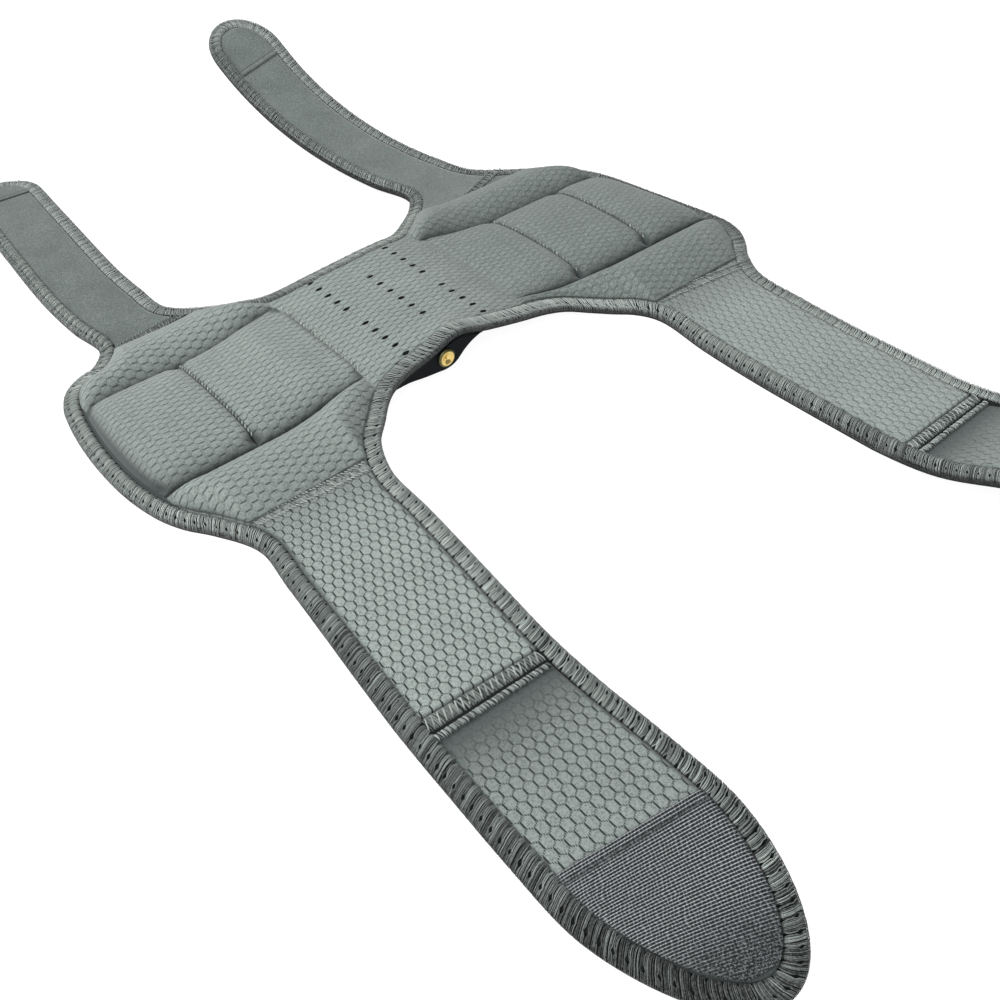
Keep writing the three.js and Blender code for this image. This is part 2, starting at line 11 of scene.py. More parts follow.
import bpy
import numpy as np
from mathutils import Matrix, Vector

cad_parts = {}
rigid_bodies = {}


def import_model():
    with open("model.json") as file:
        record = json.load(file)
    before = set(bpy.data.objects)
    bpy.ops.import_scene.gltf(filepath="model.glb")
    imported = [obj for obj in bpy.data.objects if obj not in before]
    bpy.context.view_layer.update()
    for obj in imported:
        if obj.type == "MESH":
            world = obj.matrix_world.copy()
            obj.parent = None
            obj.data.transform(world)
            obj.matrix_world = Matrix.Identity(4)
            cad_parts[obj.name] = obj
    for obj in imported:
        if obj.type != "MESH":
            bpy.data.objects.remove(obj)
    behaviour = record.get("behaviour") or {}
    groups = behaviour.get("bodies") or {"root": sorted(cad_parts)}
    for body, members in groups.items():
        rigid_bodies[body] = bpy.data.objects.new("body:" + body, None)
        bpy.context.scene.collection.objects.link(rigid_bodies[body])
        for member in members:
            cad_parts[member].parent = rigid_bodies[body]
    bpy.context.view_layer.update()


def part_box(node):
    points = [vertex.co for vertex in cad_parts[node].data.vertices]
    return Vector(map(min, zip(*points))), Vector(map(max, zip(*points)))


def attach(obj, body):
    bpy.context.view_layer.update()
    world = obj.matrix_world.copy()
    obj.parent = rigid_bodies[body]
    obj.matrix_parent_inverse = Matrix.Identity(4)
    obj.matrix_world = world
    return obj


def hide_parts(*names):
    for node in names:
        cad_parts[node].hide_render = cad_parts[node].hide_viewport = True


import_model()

# %% [markdown]
# ## The maker's frame
# The pattern is drawn in millimetres from the middle of the knee: X runs from the calf to the thigh, Y
# across the leg and Z up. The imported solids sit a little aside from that, so the two rivets, which are
# drawn at a known place, tell how far.

# %% From the maker's millimetres to the room's metres
MM = 0.001
RIVET_ALONG = -6.8
near_rivet = np.mean(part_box("hinge_rivet_near"), axis=0) / MM
far_rivet = np.mean(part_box("hinge_rivet_far"), axis=0) / MM
KNEE_MIDDLE = np.array([near_rivet[0] - RIVET_ALONG, (near_rivet[1] + far_rivet[1]) / 2, 0.0])


def in_room(points):
    """Points of the pattern, in millimetres, moved by the knee's middle and scaled to metres."""
    return (np.asarray(points, float) + KNEE_MIDDLE) * MM


print("middle of the knee, mm:", KNEE_MIDDLE.round(2).tolist())

# %% [markdown]
# ## Camera
# The even cells of the weave on the flat straps are a ruler, and they give the camera's place, its aim
# and its focal length. A camera needs its axes as the columns of a matrix: right, up and backwards.

# %% Camera
CAMERA_AT = np.array([-208.5, -342.4, 269.4])
CAMERA_AIM = np.array([-39.8, -116.1, 4.5])
CAMERA_ROLL = np.radians(-4.05)
FOCAL_PIXELS = 1105.1
IMAGE_PIXELS = 1000
SENSOR_MM = 36.0


def unit(vectors):
    """Vectors divided by their own lengths."""
    return vectors / np.linalg.norm(vectors, axis=-1, keepdims=True)


def in_scene(name, data):
    """A new object that shows the given mesh, camera or lamp."""
    thing = bpy.data.objects.new(name, data)
    bpy.context.scene.collection.objects.link(thing)
    return thing


def stand(thing, axes, at):
    """Places a camera or lamp: its right, upward and backward axes are the columns of its matrix."""
    pose = np.eye(4)
    pose[:3, :3] = np.column_stack(axes)
    pose[:3, 3] = at
    thing.matrix_world = Matrix(pose.tolist())


forward = unit(CAMERA_AIM - CAMERA_AT)
level_right = unit(np.cross(forward, [0, 0, 1]))
level_up = np.cross(level_right, forward)
right = np.cos(CAMERA_ROLL) * level_right + np.sin(CAMERA_ROLL) * level_up
up = np.cos(CAMERA_ROLL) * level_up - np.sin(CAMERA_ROLL) * level_right

camera_data = bpy.data.cameras.new("camera")
camera_data.sensor_width = SENSOR_MM
camera_data.lens = SENSOR_MM * FOCAL_PIXELS / IMAGE_PIXELS
camera_data.clip_start = 0.01
camera = in_scene("camera", camera_data)
stand(camera, [right, up, -forward], in_room(CAMERA_AT))
bpy.context.scene.camera = camera
print("lens:", round(camera_data.lens, 2), "mm")

# %% [markdown]
# ## Shader arithmetic
# A weave is a formula on the cloth's own map. Writing it as plain Python is easier to read than wiring
# nodes by hand, so a small class wraps a socket and adds one Math node for each operator.


# %% Shader arithmetic
class Wire:
    """A socket that can be added, multiplied and compared; every step adds one node."""

    def __init__(self, finish, socket):
        self.finish = finish
        self.socket = socket

    def math(self, operation, *values):
        settings = {"operation": operation}
        node = self.finish.node("ShaderNodeMath", settings, dict(enumerate((self, *values))))
        return Wire(self.finish, node.outputs[0])

    def flipped(self, operation, value):
        settings = {"operation": operation}
        node = self.finish.node("ShaderNodeMath", settings, {0: value, 1: self})
        return Wire(self.finish, node.outputs[0])

    def __add__(self, other):
        return self.math("ADD", other)

    __radd__ = __add__

    def __sub__(self, other):
        return self.math("SUBTRACT", other)

    def __rsub__(self, other):
        return self.flipped("SUBTRACT", other)

    def __mul__(self, other):
        return self.math("MULTIPLY", other)

    __rmul__ = __mul__

    def fract(self):
        return self.math("FRACT")

    def size(self):
        return self.math("ABSOLUTE")

    def sine(self):
        return self.math("SINE")

    def larger(self, other):
        return self.math("MAXIMUM", other)

    def above(self, other):
        return self.math("GREATER_THAN", other)

    def ramp(self, start, end):
        """0 before start, 1 after end and a smooth step between them; start may be the larger."""
        settings = {"interpolation_type": "SMOOTHSTEP"}
        values = {"Value": self, "From Min": start, "From Max": end}
        return Wire(self.finish, self.finish.node("ShaderNodeMapRange", settings, values).outputs[0])


print("sockets can be added, subtracted and multiplied")


# %% Finishes
class Finish:
    """A material with one Principled shader, and one method that makes every other node."""

    def __init__(self, name, **constants):
        self.material = bpy.data.materials.new(name)
        self.material.use_nodes = True
        self.tree = self.material.node_tree
        self.shader = self.tree.nodes["Principled BSDF"]
        for socket, value in constants.items():
            self.shader.inputs[socket.replace("_", " ")].default_value = value

    def node(self, kind, settings=None, values=None):
        node = self.tree.nodes.new(kind)
        for key, value in (settings or {}).items():
            setattr(node, key, value)
        for key, value in (values or {}).items():
            if isinstance(value, Wire):
                self.tree.links.new(value.socket, node.inputs[key])
            else:
                node.inputs[key].default_value = value
        return node

    def map_axes(self, name):
        """The two coordinates of one of the piece's own maps."""
        place = self.node("ShaderNodeUVMap", {"uv_map": name})
        parts = self.node("ShaderNodeSeparateXYZ", None, {0: Wire(self, place.outputs[0])})
        return Wire(self, parts.outputs[0]), Wire(self, parts.outputs[1])

    def tone(self, name):
        """A number stored on the piece's points."""
        return Wire(self, self.node("ShaderNodeAttribute", {"attribute_name": name}).outputs["Fac"])

    def noise(self, scale, detail=2.0):
        """Noise in object coordinates, about 0.5 with a spread of a fifth; scale is in cells per metre."""
        place = self.node("ShaderNodeTexCoord")
        values = {"Vector": Wire(self, place.outputs["Object"]), "Scale": scale, "Detail": detail}
        return Wire(self, self.node("ShaderNodeTexNoise", None, values).outputs[0])

    def mix(self, share, low, high):
        """The colour that lies between two colours at that share."""
        mixer = self.node("ShaderNodeMix", {"data_type": "RGBA"}, {0: share, 6: low, 7: high})
        return Wire(self, mixer.outputs[2])

    def paint(self, **wires):
        for socket, wire in wires.items():
            self.tree.links.new(wire.socket, self.shader.inputs[socket.replace("_", " ")])

    def relief(self, height, depth_mm):
        """Small bumps of that depth where the height goes from 0 to 1."""
        values = {"Height": height, "Distance": depth_mm * MM, "Strength": 1.0}
        self.paint(Normal=Wire(self, self.node("ShaderNodeBump", None, values).outputs[0]))


def linear(red, green, blue):
    """A colour given as it looks on a screen, 0 to 255, turned into linear light."""
    screen = np.array([red, green, blue]) / 255
    light = np.where(screen <= 0.04045, screen / 12.92, ((screen + 0.055) / 1.055) ** 2.4)
    return (*light.tolist(), 1.0)


print("finishes can be mixed and painted")

# %% [markdown]
# ## Honeycomb cloth
# The face of the cloth is a knit of small six-sided cells. Two of a cell's six sides are sunk as a dark
# line and the other four as rows of dots, and the cell itself is a pale pad of fine yarn. The map is in
# cells, so one formula serves the straps and, turned, the body. A cell's middle lies on one of two
# rectangular grids; the nearer one is taken, and the distance to the cell's sides follows from it.

# %% Honeycomb cloth
ROW_SHAPE = 0.866               # height of a row of regular six-sided cells, in cell widths
DOTS_PER_CELL = 6               # three dots along each slanted side
STRAP_TONES = (linear(144, 153, 149), linear(91, 99, 96))
LINING_TONES = (linear(132, 141, 137), linear(91, 99, 96))
CLOTH_DARK = linear(28, 34, 34)
# colour of painted shade, mixed in where the shade attribute is high
CLOTH_SHADE = linear(46, 53, 53)


def honeycomb_rim(u, v):
    """Distance from the nearest cell side, 0 on it and 0.5 in the middle, on arrays of map places."""
    even_x = (u + 0.5) % 1 - 0.5
    even_y = ((v / 2 + 0.5) % 1 - 0.5) * 2 * ROW_SHAPE
    odd_x = u % 1 - 0.5
    odd_y = ((v / 2) % 1 - 0.5) * 2 * ROW_SHAPE
    odd = odd_x**2 + odd_y**2 < even_x**2 + even_y**2
    x = np.abs(np.where(odd, odd_x, even_x))
    y = np.abs(np.where(odd, odd_y, even_y))
    return 0.5 - np.maximum(x, 0.5 * x + ROW_SHAPE * y)


print("a row of cells is", ROW_SHAPE, "of a cell's width high")


# %% Honeycomb finish
def honeycomb_finish(name, tones, line_strength, slant_strength, crown_width, line_fade, tone_fade):
    """The same formula as shader nodes: pale cells, dark dashes, dots, yarn grain and shaded seams.

    Where the cloth is marked faint, as on the thigh, line_fade weakens the lines and tone_fade darkens
    the face as painted shade. A place whose shade is 1 takes CLOTH_SHADE, the colour of painted deep shade.
    """
    cloth = Finish(name, Roughness=0.92, Specular_IOR_Level=0.25, Sheen_Weight=0.15)
    u, v = cloth.map_axes("weave")
    even_x = (u + 0.5).fract() - 0.5
    even_y = ((v * 0.5 + 0.5).fract() - 0.5) * (2 * ROW_SHAPE)
    odd_x = u.fract() - 0.5
    odd_y = ((v * 0.5).fract() - 0.5) * (2 * ROW_SHAPE)
    odd = (even_x * even_x + even_y * even_y).above(odd_x * odd_x + odd_y * odd_y)
    x = (even_x + (odd_x - even_x) * odd).size()
    y = (even_y + (odd_y - even_y) * odd).size()
    slanted = x * 0.5 + y * ROW_SHAPE
    rim = 0.5 - x.larger(slanted)
    straight_side = x.above(slanted)
    faint_line = cloth.tone("faint") * line_fade
    faint = cloth.tone("faint") * tone_fade
    shade = cloth.tone("shade")
    dots = (u * (2 * np.pi * DOTS_PER_CELL)).sine().ramp(0.0, 0.4)
    dashes = rim.ramp(0.11, 0.045) * straight_side
    dotted = rim.ramp(0.095, 0.035) * (1 - straight_side) * dots * (1 - faint_line * 0.8) * slant_strength
    line = (dashes + dotted) * (1 - faint_line * 0.55) * shade.ramp(0.95, 0.35) * line_strength
    crown = rim.ramp(0.0, crown_width)
    yarn = cloth.noise(2200, 2.0)
    grain = cloth.noise(950, 1.0)
    hatch = (u * 56.0 + v * 7.0).sine()
    patches = cloth.noise(55, 2.0)
    fibre = (yarn - 0.5) * 2.4 + (grain - 0.5) * 1.3 + hatch * 0.15
    # the faint term darkens the cloth towards the thigh as painted shade
    pale = crown * 0.3 + fibre + (patches - 0.5) * 0.4 - faint * 0.4 + 0.45
    face = cloth.mix(pale, tones[1], tones[0])
    lined = cloth.mix(line, face, CLOTH_DARK)
    cloth.paint(Base_Color=cloth.mix(shade, lined, CLOTH_SHADE))
    cloth.relief(crown * (1 - shade) * (1 - faint * 0.6) * 0.6 + yarn * 0.4 + hatch * 0.06, 0.14)
    return cloth.material


STRAP_CLOTH = honeycomb_finish(
    "strap honeycomb", STRAP_TONES, line_strength=1.0, slant_strength=1.0, crown_width=0.12,
    line_fade=0.8, tone_fade=0.0,
)
LINING_CLOTH = honeycomb_finish(
    "lining honeycomb", LINING_TONES, line_strength=0.72, slant_strength=0.25, crown_width=0.22,
    line_fade=1.0, tone_fade=1.0,
)
print("finishes:", STRAP_CLOTH.name, "and", LINING_CLOTH.name)

# %% [markdown]
# ## The other finishes
# The outer face of the brace is plain black cloth. The narrow straps are loop plush, the hook patches
# dark nylon, and all sewing is twisted thread whose tone differs at random; along the edge band it is also
# painted lighter and darker as light and shade. The spring plates are satin black and the rivets brass,
# duller on their rims. Noise in object coordinates is enough for pile, yarn and grain; only the hook tape
# needs its own map, because its ribs follow the strap.

# %% Cloth and tape finishes
outer = Finish("outer cloth", Roughness=0.9, Specular_IOR_Level=0.2)
outer_yarn = outer.noise(1500, 3.0)
outer.paint(Base_Color=outer.mix(outer_yarn, linear(16, 18, 19), linear(44, 47, 48)))
outer.relief(outer_yarn, 0.15)
OUTER_CLOTH = outer.material

plush = Finish("loop plush", Roughness=0.95, Specular_IOR_Level=0.15, Sheen_Weight=0.35)
plush_pile = plush.noise(1500, 4.0)
plush_patches = plush.noise(60, 3.0)
plush_pale = (plush_pile - 0.5) * 2.4 + (plush_patches - 0.5) * 0.8 + plush.tone("faint") * 0.3 + 0.2
plush_face = plush.mix(plush_pale, linear(66, 75, 73), linear(106, 115, 112))
# the shade attribute mixes painted shade into the plush
plush.paint(Base_Color=plush.mix(plush.tone("shade"), plush_face, linear(48, 55, 55)))
plush.relief(plush_pile, 0.3)
LOOP_PLUSH = plush.material

HOOK_DARK = linear(16, 19, 21)
HOOK_PALE = linear(186, 191, 194)
hook = Finish("hook tape", Roughness=0.6, Specular_IOR_Level=0.25)
hook_u, hook_v = hook.map_axes("weave")
hook_fibre = hook.noise(2400, 3.0)
rib = ((hook_v * (2 * np.pi)).sine() * 0.5 + 0.5).ramp(0.45, 1.0)
hook_drift = hook.noise(260, 2.0)
bead = (((hook_u + hook_v * 0.37 + hook_drift * 3.0) * (2 * np.pi)).sine() * 0.5 + 0.5).ramp(0.4, 0.95)
between_ribs = ((hook_v * (-2 * np.pi)).sine() * 0.5 + 0.5).ramp(0.5, 1.0)
# the shade attribute holds how far the hooks stand; it falls at the patch's sides as painted shade
hook_height = (rib * (bead * 0.35 + 0.6) + between_ribs * bead * 0.3) * hook.tone("shade")
hook_pale = hook_height * 1.1 + (hook_fibre - 0.5) * 1.0 + (1 - hook.tone("shade")) * 0.2 - 0.16
hook.paint(Base_Color=hook.mix(hook_pale, HOOK_DARK, HOOK_PALE))
hook.relief(hook_height + hook_fibre * 0.4, 0.25)
HOOK_TAPE = hook.material
print("cloth and tape:", OUTER_CLOTH.name, "-", LOOP_PLUSH.name, "-", HOOK_TAPE.name)

# %% Thread finishes
thread = Finish("overlock thread", Roughness=0.6, Specular_IOR_Level=0.45, Sheen_Weight=0.15)
thread_twist = thread.noise(1700, 2.0)
# the shade attribute holds each thread's tone: spread at random, and painted light and shade on the edge band
thread_tone = (thread.tone("shade") + (thread_twist - 0.5) * 0.7) * 0.69
thread.paint(Base_Color=thread.mix(thread_tone, linear(19, 23, 22), linear(190, 200, 195)))
thread.relief(thread_twist, 0.12)
OVERLOCK_THREAD = thread.material

band = Finish("thread bed", Roughness=0.9, Specular_IOR_Level=0.2)
band_yarn = band.noise(1400, 2.0)
band.paint(Base_Color=band.mix(band_yarn, linear(12, 14, 15), linear(34, 37, 38)))
band.relief(band_yarn, 0.2)
THREAD_BED = band.material
print("threads:", OVERLOCK_THREAD.name, "-", THREAD_BED.name)

# %% Metal finishes
black = Finish("spring black", Specular_IOR_Level=0.08)
black_grain = black.noise(420, 3.0)
black.paint(
    Base_Color=black.mix(black_grain, linear(3, 6, 8), linear(10, 15, 18)),
    Roughness=black_grain * 0.25 + 0.45,
)
black.relief(black_grain, 0.03)
SPRING_BLACK = black.material

brass = Finish("rivet brass", Metallic=1.0)
brass_dull = brass.noise(700, 3.0)
brass_face = brass.mix(brass_dull, linear(188, 158, 84), linear(238, 214, 142))
brass_rim = brass.tone("shade")
brass.paint(
    Base_Color=brass.mix(brass_rim, brass_face, linear(96, 92, 62)),
    Roughness=brass_rim * 0.35 + 0.14,
)
RIVET_BRASS = brass.material
print("metal:", SPRING_BLACK.name, "-", RIVET_BRASS.name)

# %% [markdown]
# ## Surfaces from grids
# Every piece of cloth is a closed sheet here: a top grid and a bottom grid of points with a wall round
# them. Every thread is a thin tube. The meshes could be modelled by hand, but whole arrays are quick and
# keep the order of the points known, so the weave map and the shading are stored in the same order.

# %% Meshes from arrays
made_pieces = []


def smooth_fall(t):
    """1 before 0, 0 after 1 and a smooth cubic step between them."""
    s = np.clip(t, 0, 1)
    return (1 - s) ** 2 * (1 + 2 * s)


def faintness(along):
    """How much fainter the weave is at a place along the leg: 0 at the calf, 1 at the thigh."""
    return 1 - smooth_fall(along / 60)


def fill_mesh(name, points, faces, weave=None, shade=None, finishes=(), finish_of=None):
    """A mesh object from arrays: points in millimetres, with a map and a shade for each of them.

    Faces are a list of arrays of corner numbers, one array for each number of corners.
    """
    corners = np.concatenate([group.ravel() for group in faces]).astype(np.int32)
    sizes = np.concatenate([np.full(len(group), group.shape[1]) for group in faces])
    mesh = bpy.data.meshes.new(name)
    mesh.vertices.add(len(points))
    mesh.vertices.foreach_set("co", in_room(points).astype(np.float32).ravel())
    mesh.loops.add(len(corners))
    mesh.loops.foreach_set("vertex_index", corners)
    mesh.polygons.add(len(sizes))
    mesh.polygons.foreach_set("loop_start", (np.cumsum(sizes) - sizes).astype(np.int32))
    mesh.polygons.foreach_set("use_smooth", np.ones(len(sizes), bool))
    for finish in finishes:
        mesh.materials.append(finish)
    if finish_of is not None:
        mesh.polygons.foreach_set("material_index", finish_of.astype(np.int32))
    if weave is not None:
        layer = mesh.uv_layers.new(name="weave")
        layer.data.foreach_set("uv", weave[corners].astype(np.float32).ravel())
        layer = mesh.attributes.new("faint", "FLOAT", "POINT")
        layer.data.foreach_set("value", faintness(points[:, 0]).astype(np.float32))
    if shade is not None:
        layer = mesh.attributes.new("shade", "FLOAT", "POINT")
        layer.data.foreach_set("value", shade.astype(np.float32).ravel())
    mesh.update(calc_edges=True)
    piece = in_scene(name, mesh)
    made_pieces.append(piece)
    return piece


print("pieces so far:", len(made_pieces))


# %% Closed sheets
def grid_quads(rows, columns, first=0):
    """Corner numbers of the faces of a grid of points that is stored row by row."""
    corner = first + np.arange(rows - 1)[:, None] * columns + np.arange(columns - 1)
    return np.stack([corner, corner + columns, corner + columns + 1, corner + 1], axis=-1).reshape(-1, 4)


def closed_sheet(name, top, bottom, weave, shade, finishes):
    """Top and bottom grids joined by a wall all round; the bottom takes the second finish."""
    rows, columns = top.shape[:2]
    count = rows * columns
    upper = grid_quads(rows, columns)
    lower = grid_quads(rows, columns, count)[:, ::-1]
    number = np.arange(count).reshape(rows, columns)
    ring = np.concatenate([number[0, :-1], number[:-1, -1], number[-1, :0:-1], number[:0:-1, 0]])
    after = np.roll(ring, -1)
    wall = np.stack([ring, after, after + count, ring + count], axis=-1)
    quads = np.concatenate([upper, lower, wall])
    points = np.concatenate([top.reshape(-1, 3), bottom.reshape(-1, 3)])
    corners = points[quads]
    volume = np.einsum("ij,ij->", corners[:, 0], np.cross(corners[:, 1], corners[:, 2]))
    volume += np.einsum("ij,ij->", corners[:, 0], np.cross(corners[:, 2], corners[:, 3]))
    if volume < 0:
        quads = quads[:, ::-1]
    finish_of = np.zeros(len(quads), int)
    finish_of[len(upper):len(upper) + len(lower)] = len(finishes) - 1
    maps = np.concatenate([weave.reshape(-1, 2)] * 2)
    shades = np.concatenate([shade.ravel()] * 2)
    return fill_mesh(name, points, [quads], maps, shades, finishes, finish_of)


print("corners of the one face of a grid of two by two:", grid_quads(2, 2)[0].tolist())


# %% Thread tubes
THREAD_END = 0.15


def thread_tubes(name, paths, radius, tones, finish, sides=4):
    """Thin tubes along many paths at once: a ring of points round every path point, with pointed ends.

    Paths are an array (threads, points, 3), with one tone a thread or one a point of every thread.
    The ring at each end is small and closed by one face.
    """
    threads, steps = paths.shape[:2]
    ahead = unit(np.gradient(paths, axis=1) + 1e-9)
    beside = unit(np.cross(ahead, np.array([0.013, 0.021, 1.0])))
    above = np.cross(beside, ahead)
    angle = np.arange(sides) * 2 * np.pi / sides
    width = np.full(steps, radius)
    width[[0, -1]] = THREAD_END * radius
    circle = beside[:, :, None] * np.cos(angle)[:, None] + above[:, :, None] * np.sin(angle)[:, None]
    points = (paths[:, :, None] + circle * width[None, :, None, None]).reshape(-1, 3)
    start = (np.arange(threads) * steps * sides)[:, None, None]
    here = start + (np.arange(steps - 1) * sides)[:, None] + np.arange(sides)
    beyond = start + (np.arange(steps - 1) * sides)[:, None] + (np.arange(sides) + 1) % sides
    quads = np.stack([here, here + sides, beyond + sides, beyond], axis=-1).reshape(-1, 4)
    first_ring = start[:, 0] + np.arange(sides)
    caps = np.concatenate([first_ring, first_ring[:, ::-1] + (steps - 1) * sides])
    shade = np.repeat(np.broadcast_to(tones.reshape(threads, -1), (threads, steps)).ravel(), sides)
    return fill_mesh(name, points, [quads, caps], None, shade, [finish])


print("a thread ends at", THREAD_END, "of its radius")

# %% [markdown]
# ## The bent cloth
# The ends of the cuffs lie flat, while the waist stands 13 mm off the surface over its spring plates,
# and the near edge is pushed up a little more by the hinge. One height field says how high the underside
# of the cloth is anywhere.

# %% Height of the cloth
CLOTH_THICK = 4.2
PLUSH_THICK = 3.6
PATCH_THICK = 1.3
BINDING_WIDTH = 8.0
SEAM_GAP = 0.3
SEAM_ROLL = 8.0
CUFF_SEAM = 66.0
WAIST_RISE = 13.0
RISE_FLAT = 12.0
RISE_END = 82.0
RISE_SIDE = 70.0
HINGE_LIFT = 4.5
HINGE_LIFT_AT = 1.0
HINGE_LIFT_REACH = 11.0
HINGE_LIFT_SIDE = -44.0         # where across the leg the bump starts to fall
HINGE_LIFT_FADE = 24.0


def cloth_rise(x, y):
    """A plateau along the leg that fades towards the straps, plus a bump over the near hinge."""
    along = smooth_fall((np.abs(x) - RISE_FLAT) / (RISE_END - RISE_FLAT))
    across = np.maximum(0, 1 - (np.abs(y) / RISE_SIDE) ** 6)
    hinge_along = np.exp(-(((x - HINGE_LIFT_AT) / HINGE_LIFT_REACH) ** 2))
    hinge_across = smooth_fall((y - HINGE_LIFT_SIDE) / HINGE_LIFT_FADE)
    return WAIST_RISE * along * across + HINGE_LIFT * (hinge_along * hinge_across)


print("waist underside:", round(float(cloth_rise(0.0, 0.0)), 1), "mm up")

# %% [markdown]
# ## The straps' centre lines
# A strap can drift to one side and lift off the surface along its length. Both angles are given at a few
# stops, and adding up the headings they make gives the centre line. Any place on a strap is then a
# distance along it and a distance across it.

# %% Straps
ROOT_LEAD = 10.0
FLARE_REACH = 60.0
STRAP_STEPS = 120
# groove: for the two sides of a wide strap, how deep the cloth dips at the edge band and how strong its
# painted shadow is
STRAPS = {
    "calf_strap": dict(
        side=-1, root=-86.2, half=28.0, length=227.0, tip=48.0, point=1.5, flare=1.6, flare_from=110.0,
        yaw=([0, 60, 105, 125, 185, 227], [-0.05, -0.1, -0.08, 0, 0, -0.05]), lift=([0], [0]),
        join_thigh=9.0, join_calf=12.0, roll_at=107.0, patch_at=172.0, patch_skew=0.15, groove=(0.85, 0.85),
    ),
    "thigh_strap": dict(
        side=-1, root=111.6, half=27.4, length=245.0, tip=48.0, point=1.5, flare=1.6, flare_from=127.0,
        yaw=([0, 80, 245], [-0.13, 0.01, 0.03]), lift=([124, 142], [0, 0.42]),
        join_thigh=12.0, join_calf=10.0, roll_at=125.4, patch_at=190.0, patch_skew=0.0, groove=(0.6, 0.2),
    ),
    "calf_loop": dict(
        side=1, root=-85.8, half=18.5, length=190.0, tip=20.0, point=2.0, flare=0.0, flare_from=0.0,
        yaw=([0, 75], [-0.15, 0.06]), lift=([0], [0]),
        join_thigh=14.0, join_calf=8.0, patch_at=168.0, tab_skew=0.0,
    ),
    "thigh_loop": dict(
        side=1, root=95.6, half=19.4, length=198.0, tip=24.0, point=2.0, flare=0.0, flare_from=0.0,
        yaw=([0, 198], [-0.394, 0.12]), lift=([0, 198], [0, 0.478]),
        join_thigh=16.0, join_calf=28.0, patch_at=161.0, tab_skew=0.3,
    ),
}
print("straps:", {name: strap["length"] for name, strap in STRAPS.items()})


# %% Places on a strap
def strap_stations(strap):
    """Points, sideways and upward directions at even steps: headings from yaw and lift, added up."""
    step = (ROOT_LEAD + strap["length"] + BINDING_WIDTH) / STRAP_STEPS
    along = np.arange(STRAP_STEPS + 1) * step - ROOT_LEAD
    yaw = np.interp(np.maximum(along, 0), *strap["yaw"])
    lift = np.interp(np.maximum(along, 0), *strap["lift"])
    side = strap["side"]
    heading = np.stack([np.sin(yaw) * np.cos(lift), side * np.cos(yaw) * np.cos(lift), np.sin(lift)], axis=-1)
    across = np.stack([np.cos(yaw), -side * np.sin(yaw), np.zeros_like(yaw)], axis=-1)
    root_y = CUFF_SEAM + SEAM_GAP - ROOT_LEAD * np.cos(yaw[0])
    start = np.array([strap["root"] - ROOT_LEAD * np.sin(yaw[0]), side * root_y, 0.0])
    points = start + np.concatenate([np.zeros((1, 3)), np.cumsum(heading[:-1] * step, axis=0)])
    return along, points, across, np.cross(across, heading) * side


def between(along, stations, vectors):
    """Vectors known at the stations, read off at other places along the strap."""
    return np.stack([np.interp(along, stations, vectors[:, axis]) for axis in range(3)], axis=-1)


def strap_place(strap, along, across):
    """Points on the underside of a strap and the direction of its thickness there."""
    stations, points, sideways, normals = strap_stations(strap)
    place = between(along, stations, points) + across[..., None] * between(along, stations, sideways)
    place[..., 2] += cloth_rise(place[..., 0], place[..., 1])
    return place, unit(between(along, stations, normals))


def strap_half(strap, along):
    """Half width: a slight flare, then a rounded tip of the form sqrt(1 - t to a power)."""
    flare = strap["flare"] * (1 - smooth_fall((along - strap["flare_from"]) / FLARE_REACH))
    t = np.clip((along - strap["length"] + strap["tip"]) / strap["tip"], 0, 1)
    return (strap["half"] + flare) * np.sqrt(1 - t ** strap["point"])


print("half widths at 100 mm:", {name: round(float(strap_half(s, 100.0)), 1) for name, s in STRAPS.items()})

# %% [markdown]
# ## The edge of the whole brace
# One closed curve runs round the body and out along every strap. A Bezier curve drawn by hand would do
# too, but the straps' sides follow from their centre lines. So the points go through a centripetal
# Catmull-Rom spline, which passes through them without loops, and it is read off at even distances,
# because the sewing along it is even.

# %% Edge points of the body
CALF_END_RUN = np.array([
    [-113, 61.5], [-119, 59.5], [-125, 56.3], [-130, 51], [-133.5, 43.5], [-135.3, 35.5], [-136.9, 25],
    [-138.1, 11], [-138.4, -2], [-138, -14], [-137.2, -22], [-135.6, -31], [-133.2, -40], [-129, -49.5],
    [-122.8, -59],
])
NEAR_WAIST_RUN = np.array([
    [-53, -61.4], [-46.8, -55.6], [-40.6, -49.8], [-35, -46], [-27, -44], [-14, -43], [0, -42.5], [14, -43],
    [30, -44], [46, -43.5], [56, -45], [64, -50], [72, -56.4], [79, -63],
])
THIGH_END_RUN = np.array([
    [145.5, -66.5], [152.5, -59], [158.4, -50.5], [161.4, -40], [161, -28], [159.4, -14], [157.6, 0],
    [155.6, 16], [153.6, 30], [150.4, 42], [144.8, 52.5], [137, 61.5], [127.5, 69],
])
FAR_WAIST_RUN = np.array([
    [60, 75.5], [52, 68.5], [44, 59.5], [36, 51], [29, 46], [20, 44], [8, 42.8], [-8, 41.6], [-22, 41.5],
    [-34, 44.3], [-40, 48], [-46, 55], [-51.5, 62],
])


def body_edge(run):
    """Edge points of the body: on the height field, facing along its slope, with upright thickness."""
    x, y = run[:, 0], run[:, 1]
    reach = 0.5
    slope_x = (cloth_rise(x + reach, y) - cloth_rise(x - reach, y)) / (2 * reach)
    slope_y = (cloth_rise(x, y + reach) - cloth_rise(x, y - reach)) / (2 * reach)
    facing = unit(np.stack([-slope_x, -slope_y, np.ones_like(x)], axis=-1))
    upright = np.broadcast_to([0.0, 0.0, 1.0], facing.shape)
    return np.concatenate([x[:, None], y[:, None], cloth_rise(x, y)[:, None], facing, upright], axis=1)


body_runs = [CALF_END_RUN, NEAR_WAIST_RUN, THIGH_END_RUN, FAR_WAIST_RUN]
print("edge points of the body:", [len(run) for run in body_runs])


